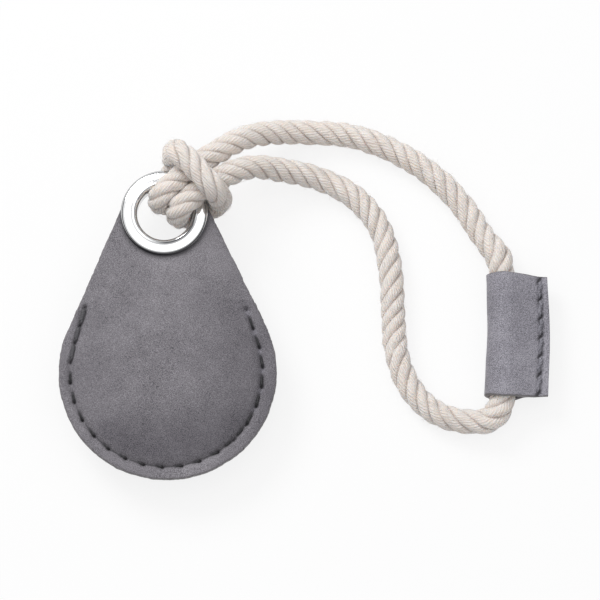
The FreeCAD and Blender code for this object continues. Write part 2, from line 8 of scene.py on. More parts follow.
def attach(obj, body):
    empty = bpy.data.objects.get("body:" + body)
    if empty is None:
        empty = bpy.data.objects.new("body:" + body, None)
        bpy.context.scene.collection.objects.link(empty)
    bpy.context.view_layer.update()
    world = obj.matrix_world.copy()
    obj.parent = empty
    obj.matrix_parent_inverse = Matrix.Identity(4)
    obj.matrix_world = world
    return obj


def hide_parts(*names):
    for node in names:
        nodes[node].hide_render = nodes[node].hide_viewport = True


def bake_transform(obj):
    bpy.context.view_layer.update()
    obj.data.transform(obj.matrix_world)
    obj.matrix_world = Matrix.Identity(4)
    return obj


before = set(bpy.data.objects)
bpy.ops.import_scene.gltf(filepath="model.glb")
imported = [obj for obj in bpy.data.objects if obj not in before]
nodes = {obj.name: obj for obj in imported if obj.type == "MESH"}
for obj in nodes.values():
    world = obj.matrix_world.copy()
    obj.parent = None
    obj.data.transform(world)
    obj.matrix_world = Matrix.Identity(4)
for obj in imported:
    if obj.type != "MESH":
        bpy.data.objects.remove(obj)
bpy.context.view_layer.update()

scene = bpy.context.scene

MM = 0.001
TURN = 2 * math.pi
UP = np.array([0.0, 0.0, 1.0])
SIDEWAYS = np.array([1.0, 0.0, 0.0])
MIRROR = np.array([-1, 1])
TINY = 1e-6


def arc_radius(half_width, rise):
    """Radius of an arc from its half width and its rise."""
    return (half_width**2 + rise**2) / (2 * rise)


# Sizes shared with the solid model, in millimetres
POCKET = np.array([0.0, -10.125])
POCKET_R = 22.4
EYELET = np.array([0.0, 23.475])
EYELET_R = 9.05
HEAD_R = 8.7
TAPER = math.asin((POCKET_R - HEAD_R) / (EYELET[1] - POCKET[1]))
LEATHER = 1.7
LEATHER_HOLE = 6.25
SEAM_R = 19.8
SEAM_Z = 6.4
FRONT_Z = SEAM_Z + LEATHER
MOUTH_H = 14.6
MOUTH_LEAN = math.radians(17.0)
NOTCH_W = 12.0
NOTCH_D = 8.0
DOME_RISE = 4.4
DOME_FOOT = 18.6
DOME_R = arc_radius(DOME_FOOT, DOME_RISE)
BACK_FLAT = 11.0
BACK_FOOT = 18.2
BACK_R = arc_radius(BACK_FOOT - BACK_FLAT, SEAM_Z - LEATHER)
ROPE_D = 4.7
SLEEVE_X = 69.5
SLEEVE_Y = -3.6
SLEEVE_Z = 3.75
SLEEVE_LENGTH = 26.2
SLEEVE_BORE = 2.5
SLEEVE_LEATHER = 1.25
SLEEVE_EDGE = 8.8
SLEEVE_SEAM = 7.15


# Numbers and noise
SEED_STEPS = (1.0, -0.7, 1.3)


def wobble(x, y, z, size, seed):
    """Smooth noise from -1 to 1 with features of the given size in millimetres."""
    return noise.noise(Vector([v / size + seed * step for v, step in zip((x, y, z), SEED_STEPS)]))


def wobbles(flat, size, seed):
    """The same noise at many places of a flat sheet."""
    return np.array([wobble(x, y, 0, size, seed) for x, y in flat])


def share(value, start, end):
    """How far a value has come from start to end, kept from 0 to 1."""
    return np.clip((value - start) / (end - start), 0, 1)


def eased(t):
    """A share with a soft start and end."""
    return t * t * (3 - 2 * t)


def bell(distance, width):
    """1 at no distance, fading to nothing over about twice the width."""
    return np.exp(-((distance / width) ** 2))


def soft_max(a, b, k):
    """The larger of two heights, with a soft crossing."""
    h = np.clip(0.5 + 0.5 * (a - b) / k, 0, 1)
    return b * (1 - h) + a * h + k * h * (1 - h)


def unit(angle):
    """The flat direction at an angle."""
    return np.array([math.cos(angle), math.sin(angle)])


def between(a, b, shares):
    """Points on the way from a to b."""
    return a + (b - a) * np.asarray(shares)[:, None]


def directions(points):
    """The unit direction of a line at each of its points."""
    along = np.gradient(points, axis=0)
    return along / np.linalg.norm(along, axis=1)[:, None]


# Objects and meshes
def placed(name, data):
    """A new object in the scene."""
    made = bpy.data.objects.new(name, data)
    scene.collection.objects.link(made)
    return made


def new_object(name, verts, faces, material):
    """A smooth mesh object from points in millimetres."""
    mesh = bpy.data.meshes.new(name)
    mesh.from_pydata((np.asarray(verts, float) * MM).tolist(), [], faces)
    mesh.validate()
    mesh.polygons.foreach_set("use_smooth", [True] * len(mesh.polygons))
    mesh.materials.append(material)
    mesh.update()
    return placed(name, mesh)


def paint(made, name, values):
    """Stores one number per point for the materials."""
    layer = made.data.attributes.new(name, "FLOAT", "POINT")
    layer.data.foreach_set("value", np.asarray(values, np.float32))


def ring_faces(base, rings, sides, closed=True):
    """Faces that join rings of points, numbered from base, and close both ends."""
    last = base + (rings - 1) * sides
    faces = [(a + j, a + (j + 1) % sides, a + sides + (j + 1) % sides, a + sides + j)
             for a in range(base, last, sides) for j in range(sides)]
    if closed:
        faces += [tuple(range(base, base + sides))[::-1], tuple(range(last, last + sides))]
    return faces


# Outlines of the leather
def arc(middle, radius, start, sweep, step):
    """A round stretch in even steps, without its last point."""
    count = round(radius * abs(sweep) / step)
    return [middle + radius * unit(start + sweep * i / count) for i in range(count)]


def run(a, b, step):
    """A straight stretch in even steps, without its last point."""
    count = max(2, round(np.linalg.norm(b - a) / step))
    return [a + (b - a) * i / count for i in range(count)]


def front_outline(step):
    """The teardrop, anticlockwise."""
    low = POCKET + POCKET_R * unit(TAPER)
    high = EYELET + HEAD_R * unit(TAPER)
    pts = arc(POCKET, POCKET_R, math.pi - TAPER, math.pi + 2 * TAPER, step)
    pts += run(low, high, step)
    pts += arc(EYELET, HEAD_R, TAPER, math.pi - 2 * TAPER, step)
    pts += run(high * MIRROR, low * MIRROR, step)
    return np.array(pts)


def back_outline(step):
    """The pocket's back with its mouth and thumb notch, anticlockwise."""
    corner_x = (POCKET_R - MOUTH_H * math.sin(MOUTH_LEAN)) / math.cos(MOUTH_LEAN)
    low = POCKET + POCKET_R * unit(MOUTH_LEAN)
    corner = POCKET + np.array([corner_x, MOUTH_H])
    lip = POCKET + np.array([NOTCH_W, MOUTH_H])
    radius = arc_radius(NOTCH_W, NOTCH_D)
    middle = POCKET + np.array([0, MOUTH_H - NOTCH_D + radius])
    half = math.asin(NOTCH_W / radius)
    pts = arc(POCKET, POCKET_R, math.pi - MOUTH_LEAN, math.pi + 2 * MOUTH_LEAN, step)
    pts += run(low, corner, step) + run(corner, lip, step)
    pts += arc(middle, radius, half - math.pi / 2, -2 * half, step)
    pts += run(lip * MIRROR, corner * MIRROR, step) + run(corner * MIRROR, low * MIRROR, step)
    return np.array(pts)


def inset(loop, distance):
    """A closed loop moved to its left, which is inward for an anticlockwise one."""
    along = np.roll(loop, -1, 0) - np.roll(loop, 1, 0)
    along /= np.linalg.norm(along, axis=1)[:, None]
    left = np.stack([-along[:, 1], along[:, 0]], 1)
    return loop + left * np.asarray(distance).reshape(-1, 1)


def inside(points, loop, holes=()):
    """Which points lie inside a closed loop and outside its holes."""
    x, y = points.T
    hit = np.zeros(len(points), bool)
    for (x0, y0), (x1, y1) in zip(loop, np.roll(loop, -1, 0)):
        if y0 != y1:
            hit ^= ((y0 > y) != (y1 > y)) & (x < (x1 - x0) * (y - y0) / (y1 - y0) + x0)
    for hole in holes:
        hit &= ~inside(points, hole)
    return hit


def nearest(points, cloud):
    """Each point's distance to the nearest point of a cloud."""
    best = np.full(len(points), np.inf)
    for spot in cloud:
        best = np.minimum(best, np.hypot(*(points - spot).T))
    return best


# The seam: its holes, and how much of each stitch shows, as seen in the photo
STITCHES = 22
SEAM_END = 0.8
SEAM_SHIFT = np.array([-0.28, 0.0])
HOLE_NUMBERS = [0, 1, 6, 9, 11, 13, 15, 18, 20, 21, 22]
HOLE_LATE = [0.25, 0.31, 0.37, 0.40, 0.28, 0.17, 0.12, 0.13, 0.2, 0.1, 0.1]


def seam_holes():
    """The stitch holes, from the right of the mouth round to the left."""
    rise = MOUTH_H - SEAM_END - SEAM_R * math.sin(MOUTH_LEAN)
    straight = rise / math.cos(MOUTH_LEAN)
    bend = SEAM_R * (math.pi + 2 * MOUTH_LEAN)
    late = np.interp(range(STITCHES + 1), HOLE_NUMBERS, HOLE_LATE)
    spots = []
    for i in range(STITCHES + 1):
        along = (2 * straight + bend) * (i + late[i]) / STITCHES
        angle = MOUTH_LEAN - min(max(along - straight, 0), bend) / SEAM_R
        over = max(straight - along, 0) - max(along - straight - bend, 0)
        ahead = np.array([-math.sin(angle), math.cos(angle)])
        spots.append(POCKET + SEAM_R * unit(angle) + over * ahead + SEAM_SHIFT)
    return np.array(spots)


HOLES = seam_holes()
HOLE_PAIRS = list(zip(HOLES, HOLES[1:]))
SHOWN = np.column_stack([
    np.interp(range(STITCHES), [5, 8, 18, 19], [0.42, 0.0, 0.0, 0.07]),
    np.interp(range(STITCHES), [5, 8, 12, 15, 18, 19], [0.97, 0.34, 0.3, 0.42, 0.5, 0.93]),
])
SEAM_STEPS = np.linspace(0, 1, 16, endpoint=False)
SEAM_LINE = np.concatenate([between(a, b, SEAM_STEPS) for a, b in HOLE_PAIRS] + [HOLES[-1:]])


# Sheets of leather
ROW_RATIO = 0.866
EDGE_ROOM = 0.55
CLOUD_ROOM = 0.3
HULL_TRIANGLES = 0
MERGE_DISTANCE = 1e-5
BOTTOM_SPACING = 2.2
EDGE_DROP = 0.26
EDGE_RAGGED = 0.1
# Waves of the cut edge: strength, size and seed
EDGE_WAVES = ((1.0, 1.1, 3.1), (0.8, 0.45, 7.7), (1.2, 4.5, 1.9))
# The cut edge: how far in, how far from the top face to the bottom one, and how much higher
EDGE_PROFILE = ((0.09, 0, -0.09), (0.0, 0, -0.36), (0.03, 0.5, 0.0), (0.0, 1, 0.36), (0.09, 1, 0.09))


def filled(loop, holes, spacing, clouds):
    """Points and triangles that fill a loop round its holes, through clouds of points."""
    low, high = loop.min(0), loop.max(0)
    rows = np.arange(low[1], high[1], spacing * ROW_RATIO)
    grid = np.array([(x + (spacing / 2 if j % 2 else 0), y) for j, y in enumerate(rows)
                     for x in np.arange(low[0], high[0], spacing)])
    rings = [loop, *holes]
    keep = inside(grid, loop, holes)
    for ring in rings:
        keep &= nearest(grid, ring) > spacing * EDGE_ROOM
    for cloud in clouds:
        keep &= nearest(grid, cloud) > CLOUD_ROOM
    edges, start = [], 0
    for ring in rings:
        edges += [(start + i, start + (i + 1) % len(ring)) for i in range(len(ring))]
        start += len(ring)
    points = np.concatenate([*rings, grid[keep], *clouds])
    spots = [Vector(p) for p in points]
    found = geometry.delaunay_2d_cdt(spots, edges, [], HULL_TRIANGLES, MERGE_DISTANCE)
    order = [group[0] for group in found[3]]
    flat, tris = points[order], np.array(found[2])
    kept = inside(flat[tris].mean(1), loop, holes)
    return flat, tris[kept], order


def shell(name, loop, holes, top, bottom, spacing, clouds=()):
    """A sheet of leather between two height functions, with a soft cut edge."""
    rough = sum(EDGE_RAGGED * strength * wobbles(loop, size, seed) for strength, size, seed in EDGE_WAVES)
    rim = inset(loop, EDGE_DROP + rough / 2)
    n = len(loop)
    verts, faces, flesh, ids = [], [], [], []
    sheets = ((top, 1, spacing, clouds), (bottom, -1, spacing * BOTTOM_SPACING, ()))
    for height, turn, dense, through in sheets:
        flat, tris, order = filled(rim, holes, dense, through)
        base = len(verts)
        verts += list(np.column_stack([flat, height(flat)]))
        faces += [tuple(base + f[::turn]) for f in tris]
        flesh += [0.0 if turn > 0 else 1.0] * len(flat)
        ids.append({source: base + i for i, source in enumerate(order)})
    upper, lower = [[side[i] for i in range(n)] for side in ids]
    z = np.array(verts)[:, 2]
    rings = [upper]
    for back, down, offset in EDGE_PROFILE:
        rings.append(range(len(verts), len(verts) + n))
        level = z[upper] * (1 - down) + z[lower] * down + offset
        verts += list(np.column_stack([inset(loop, back + rough), level]))
    rings.append(lower)
    for a, b in zip(rings, rings[1:]):
        faces += [(a[i], b[i], b[(i + 1) % n], a[(i + 1) % n]) for i in range(n)]
    start = n
    for hole in holes:
        k = len(hole)
        a, b = [[side[start + i] for i in range(k)] for side in ids]
        faces += [(a[i], a[(i + 1) % k], b[(i + 1) % k], b[i]) for i in range(k)]
        start += k
    made = new_object(name, verts, faces, LEATHER_MAT)
    edge = n * len(EDGE_PROFILE)
    paint(made, "flesh", flesh + [0.0] * edge)
    paint(made, "cut", [0.0] * len(flesh) + [1.0] * edge)
    paint_shade_and_highlights(made, np.array(verts)[:, :2])
    return made


# Painted shade and highlight, and scuffing, on the sheets: widths and places in millimetres, strengths from
# 0 to 1
SEAM_SHADE_WIDTH = 0.19
SEAM_SHADE_LEAST = 0.15
SEAM_SHADE_DEEPEN = 12.0
SLIT_WIDTH = 0.32
# Scuffing and a painted highlight between the first stitches
SLIT_POINTS = 7
SCUFF_HIGHLIGHT_STITCHES = 6
SCUFF_HIGHLIGHT_AT = (0.12, 0.24)
SCUFF_HIGHLIGHT_WIDTH = 0.5
SCUFF_HIGHLIGHT = 0.7
RING_SHADOW_ACROSS, RING_SHADOW_DOWN = 0.1, 0.98
RING_SHADOW_WIDTH, RING_SHADOW_WIDEN = 0.3, 0.4
RING_SHADOW_DARK, RING_SHADOW_DARKEN = 0.5, 0.3
SEAM_FADE = 2.0
LOW_FROM, LOW_TO = 5.0, 17.0
SIDE_FADE = 30.0
RIGHT_MOST, LEFT_MOST = 0.7, 0.45
LEFT_FROM = -3
RIM_FADE = 20.0
RIM_RIGHT, RIM_LEFT = 0.85, 0.2


def paint_shade_and_highlights(made, flat):
    """Paints shade on the seam, a shadow round the eyelet, shade low down, and scuffing and a highlight by
    the seam.
    """
    # Paler leather between the first stitches, as scuffing and a painted highlight
    scuff_highlight_spots = np.concatenate([between(a, b, SCUFF_HIGHLIGHT_AT) for a, b in HOLE_PAIRS[:SCUFF_HIGHLIGHT_STITCHES]])
    paint(made, "pale", SCUFF_HIGHLIGHT * bell(nearest(flat, scuff_highlight_spots), SCUFF_HIGHLIGHT_WIDTH))
    # Painted shadow round the eyelet, wider and darker on the ring's lower side
    x, y = (flat - EYELET).T
    away = np.hypot(x, y)
    upward = (RING_SHADOW_DOWN * y - RING_SHADOW_ACROSS * x) / np.maximum(away, TINY)
    under = np.clip(0.5 - 0.5 * upward, 0, 1)
    press = bell(away - EYELET_R, RING_SHADOW_WIDTH + RING_SHADOW_WIDEN * under) * (RING_SHADOW_DARK + RING_SHADOW_DARKEN * under)
    # Painted shade in slits along each shown stitch and along the seam's line, more so lower down
    slits = np.concatenate([between(a, b, np.linspace(*span, SLIT_POINTS))
                            for (a, b), span in zip(HOLE_PAIRS, SHOWN)])
    x, y = (flat - POCKET).T
    painted_shade = bell(nearest(flat, SEAM_LINE), SEAM_SHADE_WIDTH)
    painted_shade *= SEAM_SHADE_LEAST + (1 - SEAM_SHADE_LEAST) * share(-y, 0, SEAM_SHADE_DEEPEN)
    paint(made, "painted_shade", np.clip(painted_shade + bell(nearest(flat, slits), SLIT_WIDTH) + press, 0, 1))
    # Painted shade: darker low on the dome and towards its sides, and on the rim beyond the seam, most on
    # the right
    within = share(SEAM_R - np.hypot(x, y), 0, SEAM_FADE)
    deep = eased(share(-y, LOW_FROM, LOW_TO)) + np.clip(x / SIDE_FADE, 0, RIGHT_MOST)
    deep += np.clip((LEFT_FROM - x) / SIDE_FADE, 0, LEFT_MOST)
    rim = RIM_RIGHT * share(x, 0, RIM_FADE) ** 2 + RIM_LEFT * share(-x, 0, RIM_FADE)
    paint(made, "deep", np.clip(deep * within + rim * (1 - within) * (y < MOUTH_H), 0, 1))


# Heights of the leather's faces: the dome, the seam's depths and widths, and the waves
DOME_SPREAD = 19.6
DOME_POWER = 2.3
DOME_BLEND = 0.35
NECK_REACH = 1.4
NECK_BLEND = 2.2
FRONT_SEAM, FRONT_PIT = (0.46, 0.5), (0.75, 0.4)
BACK_SEAM, BACK_PIT = (0.34, 0.62), (0.6, 0.42)
RIM_WIDTH = 2.6
RIM_WAVE, SLOW_WAVE, FINE_WAVE = 0.10, 0.07, 0.025
ARC_LIMIT = 0.985
BACK_BLEND = 0.5
BACK_WAVE, BACK_WAVE_LIFT = 0.05, 0.6
BACK_WAVE_FROM, BACK_WAVE_TO = 9, 13


def sunk(flat, seam, pit):
    """How deep the seam's line and holes lie, from the depth and width of each."""
    line = seam[0] * bell(nearest(flat, SEAM_LINE), seam[1])
    return line + pit[0] * bell(nearest(flat, HOLES), pit[1])


def front_top(flat):
    """The dome with a long slope up to the eyelet, the sunk seam and the leather's waves."""
    x, y = (flat - POCKET).T
    r = np.hypot(x, y)
    upward = np.clip(y / np.maximum(r, TINY), 0, 1) ** 2
    dome = FRONT_Z + DOME_RISE * (1 - (r / (DOME_SPREAD + NECK_REACH * upward)) ** DOME_POWER)
    z = soft_max(dome, FRONT_Z, DOME_BLEND + NECK_BLEND * upward) - sunk(flat, FRONT_SEAM, FRONT_PIT)
    rim = share(r - SEAM_R, 0, RIM_WIDTH) * (y < MOUTH_H)
    waves = wobbles(flat, size=3.4, seed=5.0)
    slow = wobbles(flat, size=11.0, seed=2.0)
    return z + (RIM_WAVE * waves * rim + SLOW_WAVE * slow + FINE_WAVE * waves)


def front_bottom(flat):
    """The round hollow over the tag, and flat beyond it."""
    squares = np.minimum(((flat - POCKET) ** 2).sum(1), DOME_R**2)
    return np.maximum(SEAM_Z + DOME_RISE - DOME_R + np.sqrt(DOME_R**2 - squares), SEAM_Z)


def back_profile(r, lift, radius, rim):
    """One face of the back by distance from its middle: flat, a bend up, and the rim."""
    bend = np.minimum(np.clip(r - BACK_FLAT, 0, None), radius * ARC_LIMIT)
    bowl = lift + radius - np.sqrt(radius**2 - bend**2)
    return -soft_max(-bowl, -rim, BACK_BLEND)


def back_top(flat):
    """The inner face of the pocket's back."""
    return back_profile(np.hypot(*(flat - POCKET).T), LEATHER, BACK_R, SEAM_Z)


def back_bottom(flat):
    """The outer face of the pocket's back, with the sunk seam and a slow wave."""
    r = np.hypot(*(flat - POCKET).T)
    z = back_profile(r, 0.0, BACK_R + LEATHER, SEAM_Z - LEATHER) + sunk(flat, BACK_SEAM, BACK_PIT)
    slow = wobbles(flat, size=6.0, seed=8.0) + BACK_WAVE_LIFT
    return z + BACK_WAVE * slow * share(r, BACK_WAVE_FROM, BACK_WAVE_TO)


# Material helpers
BLACK = (0, 0, 0)
WHITE = (1, 1, 1)


class Nodes:
    """Short ways to add nodes to one node tree."""

    def __init__(self, tree):
        self.tree = tree

    def feed(self, socket, value):
        """Gives an input a number or a colour, or links another node's output to it."""
        if isinstance(value, (int, float)):
            socket.default_value = value
        elif isinstance(value, tuple):
            socket.default_value = (*value, 1) if socket.type == "RGBA" else value
        else:
            self.tree.links.new(value, socket)

    def add(self, kind, **settings):
        """A node, with its settings and its inputs by name."""
        made = self.tree.nodes.new(kind)
        for key, value in settings.items():
            if hasattr(made, key):
                setattr(made, key, value)
            else:
                self.feed(made.inputs[key], value)
        return made

    def coords(self, kind="Object"):
        return self.add("ShaderNodeTexCoord").outputs[kind]

    def axes(self, vector):
        return self.add("ShaderNodeSeparateXYZ", Vector=vector).outputs

    def attribute(self, name):
        return self.add("ShaderNodeAttribute", attribute_name=name).outputs["Fac"]

    def noise(self, vector, scale, detail, rough, stretch=None):
        if stretch:
            vector = self.add("ShaderNodeMapping", Vector=vector, Scale=stretch).outputs["Vector"]
        made = self.add("ShaderNodeTexNoise", Vector=vector, Scale=scale, Detail=detail, Roughness=rough)
        return made.outputs["Fac"]

    def ramp(self, value, stops):
        """A colour that follows a value through the given stops."""
        made = self.add("ShaderNodeValToRGB", Fac=value)
        elements = made.color_ramp.elements
        for element, (place, colour) in zip(elements, (stops[0], stops[-1])):
            element.position = place
            element.color = (*colour, 1)
        for place, colour in stops[1:-1]:
            elements.new(place).color = (*colour, 1)
        return made.outputs["Color"]

    def maths(self, kind, *values, clamp=False):
        made = self.add("ShaderNodeMath", operation=kind, use_clamp=clamp)
        for socket, value in zip(made.inputs, values):
            self.feed(socket, value)
        return made.outputs["Value"]

    def scaled(self, value, factor, offset=None, clamp=False):
        """A value times a factor, plus an offset."""
        value = self.maths("MULTIPLY", value, factor)
        return value if offset is None else self.maths("ADD", value, offset, clamp=clamp)

    def mix(self, fac, a, b, kind="MIX"):
        made = self.add("ShaderNodeMix", data_type="RGBA", blend_type=kind)
        for number, value in ((0, fac), (6, a), (7, b)):
            self.feed(made.inputs[number], value)
        return made.outputs[2]

    def bump(self, height, distance, strength, before=None):
        """A normal that follows a height, by a distance in millimetres."""
        made = self.add("ShaderNodeBump", Strength=strength, Distance=distance * MM, Height=height)
        if before:
            self.feed(made.inputs["Normal"], before)
        return made.outputs["Normal"]


class Surface(Nodes):
    """A new material, with its main shader's inputs by name."""

    def __init__(self, name):
        self.material = bpy.data.materials.new(name)
        self.material.use_nodes = True
        super().__init__(self.material.node_tree)
        self.shader = self.tree.nodes["Principled BSDF"]

    def finished(self, **inputs):
        for key, value in inputs.items():
            self.feed(self.shader.inputs[key.replace("_", " ")], value)
        return self.material


# Materials
def grey_leather():
    """Cloudy waxed greys with a fine grain and pull marks, painted shade and highlight, and paler leather.
    """
    cloud_tones = [(0.3, (0.070, 0.065, 0.077)), (0.5, (0.182, 0.172, 0.192)), (0.7, (0.320, 0.305, 0.329))]
    patch_tones = [(0.34, (0.125, 0.117, 0.133)), (0.68, (0.262, 0.248, 0.270))]
    grain_tones = [(0.40, (0.012, 0.011, 0.014)), (0.60, (0.380, 0.361, 0.388))]
    edge_tones = [(0.3, (0.105, 0.098, 0.105)), (0.7, (0.275, 0.262, 0.272))]
    suede_tones = [(0.3, (0.165, 0.155, 0.165)), (0.7, (0.31, 0.295, 0.305))]
    mark_stops = [(0.62, BLACK), (0.72, WHITE)]
    mark_tone = (0.31, 0.297, 0.32)
    low_shade_tint = (0.68, 0.675, 0.695)
    pale_and_highlight_tint = (1.42, 1.45, 1.50)
    painted_shade_tone = (0.018, 0.017, 0.020)

    m = Surface("waxed_grey_leather")
    where = m.coords()
    cloud = m.noise(where, scale=90, detail=5, rough=0.62)
    patch = m.noise(where, scale=420, detail=4, rough=0.6)
    grain = m.noise(where, scale=7000, detail=2, rough=0.6)
    pull = m.noise(where, scale=120, detail=6, rough=0.75, stretch=(1.0, 0.25, 1.0))
    fibre = m.noise(where, scale=1900, detail=5, rough=0.7, stretch=(1, 1, 0.35))
    nap = m.noise(where, scale=900, detail=6, rough=0.7)
    pores = m.add("ShaderNodeTexVoronoi", Vector=where, Scale=1500.0, Randomness=1.0).outputs["Distance"]

    base = m.mix(0.35, m.ramp(cloud, cloud_tones), m.ramp(patch, patch_tones))
    base = m.mix(0.55, base, m.ramp(grain, grain_tones))
    base = m.mix(m.scaled(m.ramp(pull, mark_stops), 0.28), base, mark_tone)
    # Painted shade, low on the dome, towards its sides and on the rim
    base = m.mix(m.attribute("deep"), base, low_shade_tint, "MULTIPLY")
    # Paler: the sleeve's own lighter leather, and the scuffing and painted highlight by the seam
    base = m.mix(m.attribute("pale"), base, pale_and_highlight_tint, "MULTIPLY")
    base = m.mix(m.attribute("cut"), base, m.ramp(fibre, edge_tones))
    base = m.mix(m.attribute("flesh"), base, m.ramp(nap, suede_tones))
    # Painted shade along the seams, in the stitch holes and round the eyelet
    base = m.mix(m.scaled(m.attribute("painted_shade"), 0.85), base, painted_shade_tone)
    fine = m.maths("ADD", m.scaled(grain, 0.6), m.scaled(pores, 0.4))
    normal = m.bump(patch, distance=0.11, strength=0.45)
    normal = m.bump(fine, distance=0.05, strength=0.6, before=normal)
    return m.finished(Base_Color=base, Roughness=m.scaled(cloud, -0.28, 0.78), Specular_IOR_Level=0.32,
                      Sheen_Weight=0.12, Sheen_Roughness=0.5, Normal=normal)


def thread(name, tint):
    """Waxed thread, lighter or darker by its tint, and greyer on stitches that are painted for it."""
    fibre_stops = [(0.3, (0.15, 0.15, 0.18)), (0.55, (0.6, 0.58, 0.68)), (0.8, (1.7, 1.66, 1.84))]
    tone_stops = [(0.3, (0.25, 0.25, 0.3)), (0.7, (1.1, 1.08, 1.2))]
    greyed_tone = (0.13, 0.126, 0.138)

    def tinted(stops):
        return [(place, tuple(tint * c for c in colour)) for place, colour in stops]

    m = Surface(name)
    where = m.coords()
    fibre = m.noise(where, scale=5200, detail=5, rough=0.7)
    tone = m.noise(where, scale=420, detail=3, rough=0.5)
    base = m.mix(0.35, m.ramp(fibre, tinted(fibre_stops)), m.ramp(tone, tinted(tone_stops)))
    base = m.mix(m.scaled(m.attribute("greyed"), 0.5), base, greyed_tone)
    return m.finished(Base_Color=base, Roughness=m.scaled(fibre, 0.3, 0.3), Sheen_Weight=0.2,
                      Normal=m.bump(fibre, distance=0.06, strength=0.6))


def cotton_rope():
    """Undyed cotton: winding yarns, painted shade in the creases and between yarns, strand tones and a few
    specks.
    """
    tones = [(0.3, (0.850, 0.775, 0.715)), (0.5, (0.905, 0.845, 0.800)), (0.72, (0.935, 0.895, 0.865))]
    fibre_tones = [(0.32, (0.76, 0.67, 0.60)), (0.66, (0.95, 0.915, 0.885))]
    crease_stops = [(0.36, (0.3,) * 3), (0.6, (0.9,) * 3)]
    speck_stops = [(0.745, BLACK), (0.775, WHITE)]
    shade_tone = (0.76, 0.675, 0.605)
    yarn_gap_shade_tone = (0.58, 0.465, 0.385)
    crease_shade_tone = (0.36, 0.245, 0.18)
    speck_tone = (0.16, 0.115, 0.085)
    yarns_round, yarns_along, yarn_drift = 27.0, 3.0, 1.1

    m = Surface("undyed_cotton_rope")
    uv = m.coords("UV")
    where = m.coords()
    drift = m.noise(where, scale=900, detail=3, rough=0.6)
    fibre = m.noise(uv, scale=1.0, detail=4, rough=0.65, stretch=(9.0, 90.0, 1.0))
    tone = m.noise(where, scale=330, detail=4, rough=0.6)
    crease_shade_breakup = m.noise(where, scale=300, detail=2, rough=0.55)
    speck = m.noise(where, scale=1700, detail=2, rough=0.5)
    place = m.axes(uv)
    yarn = m.maths("ADD", m.scaled(place["Y"], yarns_round), m.scaled(place["X"], yarns_along))
    yarn = m.maths("ADD", yarn, m.scaled(drift, yarn_drift))
    yarn = m.scaled(m.maths("SINE", m.scaled(yarn, TURN)), 0.5, 0.5)
    gap = m.maths("POWER", m.maths("SUBTRACT", 1.0, yarn), 3.0)
    crease = m.maths("POWER", m.attribute("crease"), 2.2)

    base = m.mix(0.35, m.ramp(tone, tones), m.ramp(fibre, fibre_tones))
    base = m.mix(m.scaled(m.attribute("shade"), 0.3), base, shade_tone)
    # Painted shade in the gaps between yarns
    base = m.mix(m.scaled(gap, 0.24), base, yarn_gap_shade_tone)
    # Painted shade in the creases between strands, broken up by noise
    base = m.mix(m.maths("MULTIPLY", crease, m.ramp(crease_shade_breakup, crease_stops)), base, crease_shade_tone)
    base = m.mix(m.scaled(m.ramp(speck, speck_stops), 0.55), base, speck_tone)
    normal = m.bump(yarn, distance=0.18, strength=0.8)
    normal = m.bump(fibre, distance=0.12, strength=0.6, before=normal)
    return m.finished(Base_Color=base, Roughness=0.92, Specular_IOR_Level=0.15, Subsurface_Weight=0.5,
                      Subsurface_Radius=(1.0, 0.85, 0.7), Subsurface_Scale=0.0016,
                      Sheen_Weight=0.25, Sheen_Roughness=0.6, Normal=normal)


# The eyelet's flange, and its dark lines of painted reflection and shade: radius, width, side in degrees,
# least, most
FLANGE_RIDGE = 7.6
FLANGE_FLAT = 0.6
FLANGE_OUTER = 75.0
FLANGE_INNER = 0.3
REFLECTION_LINE_TONE = (0.04, 0.04, 0.045)
EYELET_REFLECTION_LINES = (
    (8.6, 0.11, -50, 0.05, 0.85), (5.72, 0.08, 0, 0.85, 0.85), (6.2, 0.1, 160, -0.7, 0.75),
    (6.5, 0.3, -58, -2.2, 1.25), (7.1, 0.22, 112, -9.0, 0.7), (8.95, 0.14, 140, 0.2, 0.8),
    (8.9, 0.18, -95, -0.9, 0.72),
)


def eyelet_flange_and_reflections(m, where):
    """The normal of the eyelet's rounded flange, and how dark its painted lines of reflection and shade
    are.
    """
    place = m.axes(where)
    x, y = [m.maths("SUBTRACT", place[axis], middle * MM) for axis, middle in zip("XY", EYELET)]
    away = m.maths("SQRT", m.maths("ADD", m.maths("MULTIPLY", x, x), m.maths("MULTIPLY", y, y)))
    off = m.maths("SUBTRACT", away, FLANGE_RIDGE * MM)
    outer = m.maths("MAXIMUM", off, 0.0)
    inner = m.maths("MAXIMUM", m.maths("SUBTRACT", -FLANGE_FLAT * MM, off), 0.0)
    fall = m.scaled(m.maths("MULTIPLY", outer, outer), -FLANGE_OUTER)
    normal = m.bump(m.maths("ADD", fall, m.scaled(inner, FLANGE_INNER)), distance=1 / MM, strength=1.0)
    angle = m.maths("ARCTAN2", y, x)
    # Each line is a band of painted reflection and shade round the eyelet, strongest on one side
    dark = 0.0
    for radius, width, toward, least, most in EYELET_REFLECTION_LINES:
        off = m.maths("DIVIDE", m.maths("SUBTRACT", away, radius * MM), width * MM)
        band = m.maths("EXPONENT", m.scaled(m.maths("MULTIPLY", off, off), -1.0))
        facing = m.maths("COSINE", m.maths("SUBTRACT", angle, math.radians(toward)))
        facing = m.scaled(facing, (most - least) / 2, (most + least) / 2, clamp=True)
        dark = m.maths("ADD", dark, m.maths("MULTIPLY", band, facing), clamp=True)
    return normal, dark


